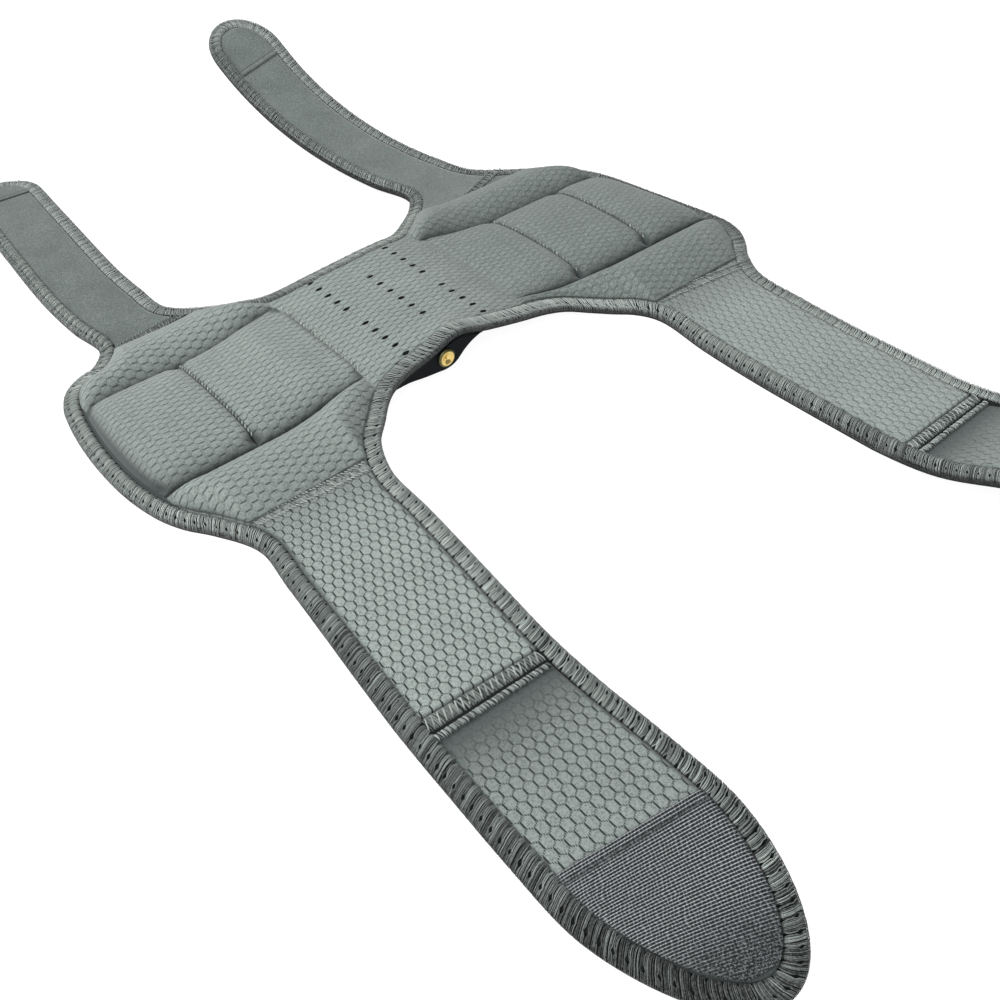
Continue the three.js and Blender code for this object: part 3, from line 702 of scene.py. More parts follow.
# %% Edge points of the straps
def strap_edge(strap, first_sign):
    """Edge points out along one side of a strap, round its tip and back along the other side."""
    straight = strap["length"] - strap["tip"]
    tip_run = straight + strap["tip"] * np.sin(np.linspace(0, 1, 9)[1:] * np.pi / 2)

    def one_side(sign):
        join = strap["join_thigh"] if sign > 0 else strap["join_calf"]
        along = np.concatenate([np.linspace(join, straight, 8), tip_run])
        place, normal = strap_place(strap, along, sign * strap_half(strap, along))
        return np.concatenate([place, normal, normal], axis=1)

    return np.concatenate([one_side(first_sign), one_side(-first_sign)[-2::-1]])


edge_keys = np.concatenate([
    body_edge(CALF_END_RUN), strap_edge(STRAPS["calf_strap"], -1),
    body_edge(NEAR_WAIST_RUN), strap_edge(STRAPS["thigh_strap"], -1),
    body_edge(THIGH_END_RUN), strap_edge(STRAPS["thigh_loop"], 1),
    body_edge(FAR_WAIST_RUN), strap_edge(STRAPS["calf_loop"], 1),
])
print("edge points in all:", len(edge_keys))


# %% Smooth closed edge
def closed_spline(keys, samples):
    """Centripetal Catmull-Rom through closed keys: Hermite pieces whose knots are root distances apart."""
    before, here, after, beyond = (np.roll(keys, shift, axis=0) for shift in (1, 0, -1, -2))
    gaps = [np.sqrt(np.linalg.norm(b - a, axis=1))[:, None] for a, b in
            ((before, here), (here, after), (after, beyond))]
    leave = (here - before) / gaps[0] - (after - before) / (gaps[0] + gaps[1]) + (after - here) / gaps[1]
    arrive = (after - here) / gaps[1] - (beyond - here) / (gaps[1] + gaps[2]) + (beyond - after) / gaps[2]
    leave, arrive = leave * gaps[1], arrive * gaps[1]
    t = np.linspace(0, 1, samples, endpoint=False)[None, :, None]
    curve = here[:, None] * (2 * t**3 - 3 * t**2 + 1) + leave[:, None] * (t**3 - 2 * t**2 + t)
    curve = curve + after[:, None] * (3 * t**2 - 2 * t**3) + arrive[:, None] * (t**3 - t**2)
    return curve.reshape(-1, 3)


def closed_mix(keys, samples):
    """Directions mixed evenly from each key to the next, round the closed run."""
    t = np.linspace(0, 1, samples, endpoint=False)[None, :, None]
    return unit((keys[:, None] * (1 - t) + np.roll(keys, -1, axis=0)[:, None] * t).reshape(-1, 3))


KEY_SAMPLES = 24
raw_edge = closed_spline(edge_keys[:, :3], KEY_SAMPLES)
raw_facing = closed_mix(edge_keys[:, 3:6], KEY_SAMPLES)
raw_thick = closed_mix(edge_keys[:, 6:], KEY_SAMPLES)
raw_steps = np.linalg.norm(np.roll(raw_edge, -1, axis=0) - raw_edge, axis=1)
raw_length = np.concatenate([[0], np.cumsum(raw_steps)])
EDGE_LENGTH = raw_length[-1]
print("edge length:", round(EDGE_LENGTH), "mm")


# %% Places along the edge
def on_edge(distance, values):
    """Values known at the raw edge points, read off at a distance along the closed edge."""
    closed = np.concatenate([values, values[:1]])
    flat = np.mod(distance, EDGE_LENGTH)
    return np.stack([np.interp(flat, raw_length, closed[:, axis]) for axis in range(3)], axis=-1)


raw_ahead = np.roll(raw_edge, -1, axis=0) - np.roll(raw_edge, 1, axis=0)
raw_inward = unit(np.cross(raw_facing, raw_ahead))


def edge_place(distance, inset, height):
    """A point of the edge moved inwards, kept off the floor, and lifted along the cloth's thickness."""
    base = on_edge(distance, raw_edge) + on_edge(distance, raw_inward) * np.asarray(inset)[..., None]
    base[..., 2] = np.maximum(base[..., 2], 0)
    return base + on_edge(distance, raw_thick) * np.asarray(height)[..., None]


BAND_INSIDE = 6.0               # width of the sewn band from its rim to the cloth
inner_distance = np.arange(0, EDGE_LENGTH, 1.0)
inner_outline = edge_place(inner_distance, BAND_INSIDE + SEAM_GAP / 2, np.zeros_like(inner_distance))[:, :2]
print("points along the inner side of the band:", len(inner_outline))


# %% How far the cloth reaches
def reach_from(points, directions):
    """Distance from each point, along its direction, to the inner side of the edge band."""
    start = inner_outline[None]
    run = (np.roll(inner_outline, -1, axis=0) - inner_outline)[None]
    gap = start - points[:, None]
    ray = directions[:, None]
    turn = ray[..., 0] * run[..., 1] - ray[..., 1] * run[..., 0]
    turn = np.where(np.abs(turn) < 1e-9, 1e-9, turn)
    distance = (gap[..., 0] * run[..., 1] - gap[..., 1] * run[..., 0]) / turn
    share = (gap[..., 0] * ray[..., 1] - gap[..., 1] * ray[..., 0]) / turn
    hit = (share >= 0) & (share < 1) & (distance > 0)
    return np.where(hit, distance, 1e6).min(axis=1)


def side_reach(x, sign):
    """How far the cloth reaches sideways at places along the leg, at most to the cuff's seam."""
    points = np.stack([x, np.zeros_like(x)], axis=-1)
    directions = np.broadcast_to([0.0, float(sign)], points.shape)
    return np.minimum(reach_from(points, directions), CUFF_SEAM)


def end_reach(y, start, sign):
    """X of the end of the cuff at places across the leg, looking from a start place outwards."""
    points = np.stack([np.full_like(y, start), y], axis=-1)
    directions = np.broadcast_to([float(sign), 0.0], points.shape)
    return start + sign * reach_from(points, directions)


print("waist half width:", side_reach(np.array([0.0]), -1).round(1).tolist(), "mm")

# %% [markdown]
# ## The body's cloth
# The panel is a sheet of cloth-faced foam. Only its waist shows from above, between the quilted cuffs,
# so the grid is fine there and coarse elsewhere. Small slits let air through the waist; they are cut with
# a Boolean modifier, because a hole in a grid would be ragged.

# %% Body cloth
LINING_PITCH = 3.14             # width of a cell, across the leg
LINING_ROW = 3.78               # height of a row of cells, along the leg
CELL_DEPTH = 0.12
EDGE_TUCK = 0.4                 # how much the cloth dips where it goes under the edge band


def lining_map(x, y):
    """The weave's own coordinates on the body, in cells: turned a quarter against the straps."""
    return np.stack([y / LINING_PITCH, x / LINING_ROW], axis=-1)


def cell_relief(weave):
    """Height of the knit: a cell falls from half its depth above the cloth to half below it at its sides."""
    return CELL_DEPTH * (0.5 - smooth_fall(honeycomb_rim(weave[..., 0], weave[..., 1]) / 0.25))


WAIST_FROM = -41.0
WAIST_TO = 37.0
knee_line = np.array([0.0])
CUFF_INSIDE = 100.0             # a place inside either cuff to look outwards from
CALF_END = end_reach(knee_line, -CUFF_INSIDE, -1)[0] + SEAM_GAP
THIGH_END = end_reach(knee_line, CUFF_INSIDE, 1)[0] - SEAM_GAP


def end_bulge(x, y):
    """Extra length near the thigh's end, where the edge runs out further than at the knee line."""
    stops = np.arange(-58.0, 59.0)
    reach = np.interp(y, stops, end_reach(stops, CUFF_INSIDE, 1) - SEAM_GAP)
    share = np.clip((x - CUFF_INSIDE) / (THIGH_END - CUFF_INSIDE), 0, 1)
    return np.maximum(reach - THIGH_END, 0) * share**6


body_x = np.concatenate([
    np.linspace(CALF_END, WAIST_FROM, 60, endpoint=False),
    np.linspace(WAIST_FROM, WAIST_TO, 130, endpoint=False),
    np.linspace(WAIST_TO, THIGH_END, 75),
])
BODY_COLUMNS = 105
body_t = np.linspace(0, 1, BODY_COLUMNS)
body_low = -side_reach(body_x, -1)
body_high = side_reach(body_x, 1)
body_y = body_low[:, None] + (body_high - body_low)[:, None] * body_t
body_xx = body_x[:, None] + end_bulge(body_x[:, None], body_y)
body_floor = cloth_rise(body_xx, body_y)
body_weave = lining_map(body_xx, body_y)
to_side = np.minimum(body_y - body_low[:, None], body_high[:, None] - body_y)
waist_middle = (WAIST_FROM + WAIST_TO) / 2
waist_half = (WAIST_TO - WAIST_FROM) / 2 - 3
in_waist = smooth_fall((np.abs(body_xx - waist_middle) - waist_half) / 4)
body_dip = EDGE_TUCK * np.exp(-to_side / 1.1)
body_top = body_floor + CLOTH_THICK + in_waist * (cell_relief(body_weave) - body_dip)
under_pad = (1 - smooth_fall((body_xx - 24) / 12)) * smooth_fall((np.abs(body_y) - 28) / 5)
body_top = body_top + 0.55 * under_pad
# painted shade along the sides, and a painted shadow at the calf end where the cloth shows between pad and
# band
body_shade = 0.3 * np.exp(-to_side / 0.9) + 0.95 * smooth_fall((body_xx - CALF_END - 4) / 4)
body_cloth = closed_sheet(
    "body_cloth",
    np.stack([body_xx, body_y, body_top], axis=-1),
    np.stack([body_xx, body_y, body_floor], axis=-1),
    body_weave, body_shade, [LINING_CLOTH, OUTER_CLOTH],
)
print("body cloth:", body_xx.shape)

# %% Shape of the slits
SLIT_LENGTH = 3.4
SLIT_WIDTH = 1.9
SLIT_ROWS = [
    dict(along=-21.0, places=[-5, -4, -3, -2, -1, 1, 2, 3, 4, 5], pitch=7.0, middle=-1.0),
    dict(along=0.0, places=[-2.5, -1.5, -0.5, 0.5, 1.5, 2.5], pitch=7.6, middle=0.0),
    dict(along=19.0, places=[-5, -4, -3, -2, -1, 1, 2, 3, 4, 5], pitch=7.0, middle=0.0),
]
SLIT_SIDES = 12
slit_middles = np.array([
    [row["along"], row["middle"] + place * row["pitch"]] for row in SLIT_ROWS for place in row["places"]
])
slit_angle = np.arange(SLIT_SIDES) * 2 * np.pi / SLIT_SIDES
slit_lens = np.stack([
    SLIT_LENGTH / 2 * np.cos(slit_angle),
    SLIT_WIDTH / 2 * np.sin(slit_angle) * np.abs(np.sin(slit_angle)) ** 0.4,
], axis=-1)
slit_rims = slit_middles[:, None] + slit_lens
slit_levels = np.array([0.0, 30.0])
slit_points = np.concatenate([
    np.repeat(slit_rims[:, None], 2, axis=1),
    np.broadcast_to(slit_levels[None, :, None, None], (len(slit_middles), 2, SLIT_SIDES, 1)),
], axis=-1).reshape(-1, 3)
slit_faces = []
for slit in range(len(slit_middles)):
    low = slit * 2 * SLIT_SIDES + np.arange(SLIT_SIDES)
    high = low + SLIT_SIDES
    slit_faces += [low[::-1].tolist(), high.tolist()]
    slit_faces += np.stack([low, np.roll(low, -1), np.roll(high, -1), high], axis=-1).tolist()
print("slits:", len(slit_middles))

# %% Slits cut through the waist
slit_mesh = bpy.data.meshes.new("slit_cutter")
slit_mesh.from_pydata(in_room(slit_points).tolist(), [], slit_faces)
slit_mesh.materials.append(OUTER_CLOTH)
slit_cutter = in_scene("slit_cutter", slit_mesh)
cut = body_cloth.modifiers.new("slits", "BOOLEAN")
cut.operation = "DIFFERENCE"
cut.solver = "MANIFOLD"
cut.object = slit_cutter
whole_mesh = body_cloth.data
seen = bpy.context.evaluated_depsgraph_get()
cut_mesh = bpy.data.meshes.new_from_object(body_cloth.evaluated_get(seen))
body_cloth.modifiers.remove(cut)
body_cloth.data = cut_mesh
bpy.data.objects.remove(slit_cutter)
bpy.data.meshes.remove(slit_mesh)
bpy.data.meshes.remove(whole_mesh)
cut_mesh.name = "body_cloth"
print("faces after the cut:", len(cut_mesh.polygons))

# %% [markdown]
# ## Quilted cuffs
# Each cuff has a row of pads down its middle and a long bolster on each side, with deep furrows between.
# A pad swells from its seams: steeply at the furrows, softly at the cross seams, where the stitching only
# dimples it, and it thins out towards the waist. The same weave runs over all of it, as low relief.

# %% Shape of a pad
GROOVE = 33.5
PAD_HEIGHT = 8.0
PAD_RIM = 0.7
PAD_CELL_STEP = 0.7
PAD_COLUMNS = 97
PAD_ROUNDNESS = 2.8
PUCKER_DEPTH = 2.2
FURROW_HALF = 0.4
THIN_TUCK = 1.4                 # how far a thin end is pushed down, so that no rim stands up
CENTRE_PADS = [
    dict(name="calf_pad_outer", start=-130.0, end=-89.0, start_kind="rim", end_kind="seam"),
    dict(name="calf_pad_inner", start=-88.0, end=-40.0, start_kind="seam", end_kind="waist"),
    dict(name="thigh_pad_waist", start=36.0, end=75.0, start_kind="smooth", end_kind="seam"),
    dict(name="thigh_pad_middle", start=76.0, end=116.0, start_kind="seam", end_kind="seam"),
    dict(name="thigh_pad_outer", start=117.0, end=148.0, start_kind="seam", end_kind="long_rim"),
]
PAD_ENDS = {
    "rim": lambda d: np.sqrt(1 - (1 - np.clip(d / 12, 0, 1)) ** 2),
    "long_rim": lambda d: np.sqrt(1 - (1 - np.clip(d / 24, 0, 1)) ** 1.6),
    "seam": lambda d: 1 - 0.2 * np.exp(-d / 2.6),
    "smooth": lambda d: 1 - smooth_fall(d / 37),
    "waist": lambda d: (0.2 + 0.8 * (1 - smooth_fall(d / 22))) * (1 - 0.6 * np.exp(-d / 2.2)),
}


def pad_base(x, y):
    """The height that the pads are sewn down to."""
    return cloth_rise(x, y) + CLOTH_THICK + SEAM_GAP


def cushion(name, x, y, swell, shade, tuck):
    """A padded piece over a grid of places: base, rim, swell and weave added up, tucked down at thin ends."""
    base = pad_base(x, y) - tuck
    weave = lining_map(x, y)
    top = base + PAD_RIM + swell + cell_relief(weave) * (1 - 0.7 * faintness(x))
    return closed_sheet(
        name,
        np.stack([x, y, np.maximum(top, base + 0.3)], axis=-1),
        np.stack([x, y, base], axis=-1),
        weave, shade, [LINING_CLOTH, OUTER_CLOTH],
    )


print("pads from", CENTRE_PADS[0]["name"], "to", CENTRE_PADS[-1]["name"])

# %% Centre pads
for pad in CENTRE_PADS:
    rows = int((pad["end"] - pad["start"]) / PAD_CELL_STEP)
    side = np.sin(np.linspace(-1, 1, PAD_COLUMNS) * np.pi / 2)
    pad_y = np.sign(side) * np.abs(side) ** 0.85 * (GROOVE - FURROW_HALF)
    first = np.full_like(pad_y, pad["start"])
    last = np.full_like(pad_y, pad["end"])
    if pad["start_kind"] == "rim":
        first = end_reach(pad_y, pad["end"], -1) + 0.9
    if pad["end_kind"] == "long_rim":
        last = end_reach(pad_y, pad["start"], 1) - SEAM_GAP
    pad_x = first + (last - first) * np.linspace(0, 1, rows)[:, None]
    pad_yy = np.broadcast_to(pad_y, pad_x.shape)
    from_start = pad_x - first
    from_end = last - pad_x
    across = np.sqrt(1 - np.abs(pad_yy / GROOVE) ** PAD_ROUNDNESS)
    ends = PAD_ENDS[pad["start_kind"]](from_start) * PAD_ENDS[pad["end_kind"]](from_end)
    smooth_start = pad["start_kind"] == "smooth"
    from_seam = from_end if smooth_start else np.minimum(from_start, from_end)
    from_furrow = GROOVE - np.abs(pad_yy)
    pucker = np.exp(-(from_seam**2 + (from_furrow - 3) ** 2) / 6)
    # painted shade in the furrows, deeper on the near side, at the seams and in the puckers
    furrow_shade = 0.8 * np.exp(-from_furrow / np.where(pad_yy < 0, 2.4, 1.5))
    shade = 0.4 * np.exp(-from_seam / 0.9) + furrow_shade + 0.6 * pucker
    # painted shadow where the pad at the calf end rises from the band, and painted shade down that slope
    if pad["start_kind"] == "rim":
        shade = shade + 1.1 * np.exp(-from_start / 1.3) + 0.25 * np.exp(-from_start / 9)
    swell = PAD_HEIGHT * across * ends - PUCKER_DEPTH * pucker
    tuck = smooth_start * THIN_TUCK * smooth_fall(from_start / 8)
    pad_piece = cushion(pad["name"] + "_cushion", pad_x, pad_yy, swell, np.minimum(shade, 0.9), tuck)
    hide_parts(pad["name"])
print("centre pads:", len(CENTRE_PADS))

# %% Bolsters
BOLSTER_HEIGHT = 8.0
BOLSTER_INSET = 0.3
BOLSTER_CREST = 0.42
BOLSTER_NARROWEST = 1.5
BOLSTER_COLUMNS = 45
BOLSTERS = [
    dict(name="calf_bolster", start=CALF_END, end=-40.0),
    dict(name="thigh_bolster", start=36.0, end=THIGH_END),
]


def bolster_profile(t):
    """A round rise from the furrow to the crest, then a longer fall to the outer seam."""
    rise = np.sin(np.clip(t / BOLSTER_CREST, 0, 1) * np.pi / 2) ** 0.8
    fall = np.clip((t - BOLSTER_CREST) / (1 - BOLSTER_CREST), 0, 1)
    return rise * (1 - fall**1.6)


for bolster in BOLSTERS:
    for side_name, sign in (("near", -1), ("far", 1)):
        along = np.arange(bolster["start"], bolster["end"], PAD_CELL_STEP)
        along = along[side_reach(along, sign) > GROOVE + BOLSTER_NARROWEST + BOLSTER_INSET]
        rows = len(along)
        reach = side_reach(along, sign) - BOLSTER_INSET
        t = 0.5 - 0.5 * np.cos(np.linspace(0, 1, BOLSTER_COLUMNS) * np.pi)
        inner = GROOVE + FURROW_HALF
        roll_y = sign * (inner + (reach[:, None] - inner) * t)
        roll_x = along[:, None] + end_bulge(along[:, None], roll_y)
        width = (reach - inner)[:, None]
        length_share = np.abs(2 * np.linspace(0, 1, rows) - 1)[:, None]
        ends = np.sqrt(1 - length_share**9)
        swell = BOLSTER_HEIGHT * (1 - np.exp(-((width / 14) ** 1.6))) * bolster_profile(t) * ends
        # painted shade in the furrow and along the outer seam, stronger near the calf end, weaker where
        # narrow
        outer_seam_shade = 0.2 + 0.6 * smooth_fall((roll_x + 122) / 16)
        shade = 0.8 * np.exp(-t * width / 1.5) + outer_seam_shade * np.exp(-(1 - t) * width / 1.2)
        shade = shade * (1 - 0.8 * np.exp(-width / 5))
        from_end = np.minimum(along - along[0], along[-1] - along)[:, None]
        tuck = THIN_TUCK * np.exp(-from_end / 1.5)
        roll_piece = cushion(f"{bolster['name']}_{side_name}_cushion", roll_x, roll_y, swell, shade, tuck)
        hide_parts(f"{bolster['name']}_{side_name}")
print("bolsters:", 2 * len(BOLSTERS))

# %% [markdown]
# ## Straps
# A wide strap is two honeycomb panels joined by a rolled seam, and a hook patch on its end. A narrow strap
# is one length of loop plush with a tab. Rows of points lie across the strap, turning from the straight
# root seam to the strap's own direction, and each row ends at the inner side of the edge band.

# %% Strap rows
STRAP_PITCH = 3.65
STRAP_ROW = 3.8
ROOT_TURN = 40.0
EDGE_CLEAR = 0.15


def strap_rows(strap, along, columns, skew=0.0):
    """Grid over a strap: the places, the thickness direction, the distance across and to the sides."""
    stations, points, sideways, normals = strap_stations(strap)
    middle = between(along, stations, points)
    turned = smooth_fall(along / ROOT_TURN)[:, None]
    across = unit(between(along, stations, sideways) * (1 - turned) + np.array([1.0, 0.0, 0.0]) * turned)
    ahead = unit(between(along, stations, np.gradient(points, axis=0)))
    across = across * np.cos(skew) + ahead * np.sin(skew)
    high = reach_from(middle[:, :2], across[:, :2]) - EDGE_CLEAR
    low = -reach_from(middle[:, :2], -across[:, :2]) + EDGE_CLEAR
    t = np.linspace(0, 1, columns)
    offset = low[:, None] + (high - low)[:, None] * t
    place = middle[:, None] + offset[..., None] * across[:, None]
    place[..., 2] += cloth_rise(place[..., 0], place[..., 1])
    normal = np.broadcast_to(unit(between(along, stations, normals))[:, None], place.shape)
    to_side = np.minimum(t, 1 - t) * (high - low)[:, None]
    return place, normal, offset, to_side


def across_and_along(offset, along):
    """A map that gives the distance across the strap and along it, in millimetres."""
    return np.stack([offset, np.broadcast_to(along[:, None], offset.shape)], axis=-1)


def strap_layer(name, place, normal, low, high, weave, shade, finishes):
    """A sheet on a strap that fills the room from a low to a high level over the strap's underside."""
    return closed_sheet(name, place + normal * high[..., None], place + normal * low, weave, shade, finishes)


print("cells of the strap cloth:", STRAP_PITCH, "by", STRAP_ROW, "mm")


# %% Flat sizes
def sheet_area(place):
    """Area of a grid of points, from the diagonals of its cells, in square millimetres."""
    first = place[1:, 1:] - place[:-1, :-1]
    second = place[1:, :-1] - place[:-1, 1:]
    return float(np.linalg.norm(np.cross(first, second), axis=-1).sum() / 2)


def lay_sheet(piece, place):
    """Measures a piece's flat size along and across its grid, and prints it."""
    long_side = np.linalg.norm(np.diff(place[:, place.shape[1] // 2], axis=0), axis=1).sum()
    wide_side = np.linalg.norm(place[:, -1] - place[:, 0], axis=1).max()
    flat = (wide_side * MM, long_side * MM)
    area = min(sheet_area(place) * MM**2, flat[0] * flat[1])
    print(piece.name, "flat, mm:", round(wide_side, 1), "by", round(long_side, 1))


# %% Honeycomb panels of the wide straps
WIDE_STRAPS = ("calf_strap", "thigh_strap")
PANEL_STEP = 0.75
PANEL_COLUMNS = 57


def cloth_end(strap):
    """How far along a strap its cloth reaches: up to the inner side of the edge band."""
    return strap["length"] - BAND_INSIDE - SEAM_GAP


def strap_panel(strap, name, start, end, dark_start):
    """A panel of a wide strap: knit relief on top, tucked sides, shaded next to the rolled seam."""
    along = np.linspace(start, end, int((end - start) / PANEL_STEP))
    place, normal, offset, to_side = strap_rows(strap, along, PANEL_COLUMNS)
    weave = across_and_along(offset, along) / [STRAP_PITCH, STRAP_ROW]
    from_start = (along - start)[:, None]
    under_roll = dark_start * np.exp(-((from_start / 16) ** 1.6))
    root_darkening = (1 - dark_start) * 0.35 * np.exp(-((from_start / 18) ** 2))
    groove = np.where(offset < 0, *strap["groove"])
    tuck = EDGE_TUCK * (1 + groove)
    height = CLOTH_THICK - tuck * np.exp(-to_side / 0.9) - 1.2 * under_roll
    height = height + cell_relief(weave) * (1 - under_roll)
    # painted shade under the rolled seam; the outer panel is a little darker overall, and the inner panel is
    # darker with fainter lines near its root
    shade = 0.7 * under_roll + 0.19 * dark_start + root_darkening
    # painted shadow along the inner side of the edge band
    shade = np.maximum(groove * np.exp(-((to_side / 1.2) ** 2)), shade)
    # painted shade on the cloth under the hook patch
    shade = np.maximum(shade, 0.9 * (along[:, None] > strap["patch_at"] + 6))
    piece = strap_layer(name, place, normal, 0.0, height, weave, shade, [STRAP_CLOTH, OUTER_CLOTH])
    lay_sheet(piece, place)
    return piece


for name in WIDE_STRAPS:
    strap = STRAPS[name]
    roll_end = strap["roll_at"] + SEAM_ROLL
    inner_panel = strap_panel(strap, f"{name}_inner_cloth", 0.0, strap["roll_at"] - SEAM_GAP, 0.0)
    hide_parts(f"{name}_inner")
    outer_panel = strap_panel(strap, f"{name}_outer_cloth", roll_end + SEAM_GAP, cloth_end(strap), 1.0)
    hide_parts(f"{name}_outer")

# %% Hook patches
RIB_PITCH = 0.92
RIB_FAN = 0.0055                # the ribs turn a little from the patch's seam towards its tip
DOT_PITCH = 1.1
PATCH_STEP = 0.6
PATCH_COLUMNS = 75
PATCH_THINNED = 0.7             # taken off the solid patch's thickness, so that no edge stands up
PATCH_SEAM_AT = 3.2
HOOKS_TO = 24.0
HOOKS_FADE = 22.0

for name in WIDE_STRAPS:
    strap = STRAPS[name]
    tip_end = cloth_end(strap) - 6 * strap["patch_skew"]
    along = np.linspace(strap["patch_at"], tip_end, int((tip_end - strap["patch_at"]) / PATCH_STEP))
    place, normal, offset, to_side = strap_rows(strap, along, PATCH_COLUMNS, strap["patch_skew"])
    run = (along - strap["patch_at"])[:, None]
    off_seam = 1 - np.exp(-(((run - PATCH_SEAM_AT) / 0.8) ** 2))
    # how far the hooks stand, going to nothing at the sides as painted shade next to the band
    hooks_and_edge_shade = smooth_fall((run - HOOKS_TO) / HOOKS_FADE) * off_seam * (1 - np.exp(-to_side / 0.6))
    low = CLOTH_THICK + SEAM_GAP
    height = low + PATCH_THICK - PATCH_THINNED + 0.4 * (hooks_and_edge_shade - 1) - 0.5 * np.exp(-to_side / 0.8)
    height = np.maximum(height, low + 0.2)
    shade = np.broadcast_to(0.15 + 0.85 * hooks_and_edge_shade, offset.shape)
    fanned = run * (1 - RIB_FAN * offset)
    weave = np.stack([offset / DOT_PITCH, fanned / RIB_PITCH], axis=-1)
    patch = strap_layer(f"{name}_hook_tape", place, normal, low, height, weave, shade, [HOOK_TAPE])
    lay_sheet(patch, place)
    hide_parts(f"{name}_hook_patch")

# %% Narrow plush straps
PLUSH_STEP = 1.2
PLUSH_COLUMNS = 27


def lay_plush(name, strap):
    """A narrow strap: one length of plush, a little thinner at its sides, with painted shade there."""
    along = np.linspace(0.0, cloth_end(strap), int(cloth_end(strap) / PLUSH_STEP))
    place, normal, offset, to_side = strap_rows(strap, along, PLUSH_COLUMNS)
    height = PLUSH_THICK - 0.1 * np.exp(-to_side / 1.3)
    shade = 0.1 * np.exp(-to_side / 0.9)
    weave = across_and_along(offset, along)
    plush_strap = strap_layer(
        f"{name}_plush", place, normal, 0.0, height, weave, shade, [LOOP_PLUSH, OUTER_CLOTH],
    )
    lay_sheet(plush_strap, place)
    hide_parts(name)


print("plush:", PLUSH_THICK, "mm thick")

# %% Tabs of the narrow straps
TAB_ROWS = 60


def lay_tab(name, strap):
    """The tab on a narrow strap's end: a thin tape with a raised hem and a crease behind it."""
    along = np.linspace(strap["patch_at"], cloth_end(strap) - 5 * strap["tab_skew"], TAB_ROWS)
    place, normal, offset, to_side = strap_rows(strap, along, PLUSH_COLUMNS, strap["tab_skew"])
    run = (along - strap["patch_at"])[:, None]
    low = PLUSH_THICK + SEAM_GAP
    hem = np.exp(-(((run - 1.4) / 0.9) ** 2))
    crease = np.exp(-(((run - 3.0) / 0.5) ** 2))
    height = low + 0.35 + 0.3 * hem - 0.2 * crease - 0.2 * np.exp(-to_side / 0.8)
    # painted shade at the tab's sides and in its crease
    shade = np.maximum(0.6 * np.exp(-to_side / 1.0), 0.8 * np.broadcast_to(crease, to_side.shape))
    weave = across_and_along(offset, along - strap["patch_at"])
    tab = strap_layer(f"{name}_plush_tab", place, normal, low, height, weave, shade, [LOOP_PLUSH])
    lay_sheet(tab, place)
    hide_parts(f"{name}_tab")


for name in ("calf_loop", "thigh_loop"):
    lay_plush(name, STRAPS[name])
    lay_tab(name, STRAPS[name])

# %% [markdown]
# ## Edge band
# The band is an overlock seam: a dark bed, wrapped from side to side with thousands of slanted threads
# that are pushed apart at the needle holes. A swept profile makes the bed. The threads could be bump on
# that bed, but they are real tubes, since their gaps and gloss are what the eye reads as sewing. They are
# darkest at the end of the calf strap. A short table paints this light and shade along the edge.

# %% Bed of the edge band
BAND_STEP = 3.0
BAND_PROFILE = np.array([
    [6.0, 0.3], [6.9, 0.6], [6.8, 1.8], [5.4, 3.0], [4.4, 3.5], [3.3, 3.5], [2.4, 3.1], [1.7, 2.5],
    [1.0, 3.1], [0.1, 3.1], [-0.3, 1.9], [0.0, 0.3], [1.2, 0.0], [3.2, 0.0],
])
band_count = int(EDGE_LENGTH / BAND_STEP)
band_distance = np.arange(band_count)[:, None] * EDGE_LENGTH / band_count
band_shape = (band_count, len(BAND_PROFILE))
band_points = edge_place(
    np.broadcast_to(band_distance, band_shape),
    np.broadcast_to(BAND_PROFILE[:, 0], band_shape),
    np.broadcast_to(BAND_PROFILE[:, 1], band_shape),
)
ring_number = np.arange(band_count)[:, None] * len(BAND_PROFILE)
ring_after = (np.arange(band_count)[:, None] + 1) % band_count * len(BAND_PROFILE)
corner = np.arange(len(BAND_PROFILE))
corner_after = (corner + 1) % len(BAND_PROFILE)
band_quads = np.stack([
    ring_number + corner, ring_number + corner_after, ring_after + corner_after, ring_after + corner,
], axis=-1).reshape(-1, 4)
edge_bed = fill_mesh("edge_band_bed", band_points.reshape(-1, 3), [band_quads], None, None, [THREAD_BED])
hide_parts("edge_binding")
print("bed rings:", band_count)

# %% Threads of the edge band, in numbers
STITCH = 4.2
STRANDS = 9
STRAND_RADIUS = 0.175
STRAND_LEAN = 2.3               # how far a thread runs along the edge on its way to the rim
LEAN_FROM = 5.2                 # a thread leaves the inner side straight and leans from this inset on
HOLE_INSETS = (6.0, 1.7)
HOLE_FALL = 0.3                 # how quickly the push of a hole fades from thread to thread
STRAND_PATH = np.array([
    [6.3, 3.3], [5.7, 3.85], [4.7, 4.15], [3.6, 4.15], [2.6, 3.95], [1.7, 3.65], [0.8, 3.75], [-0.2, 3.5],
    [-0.55, 2.2], [0.0, 0.6],
])
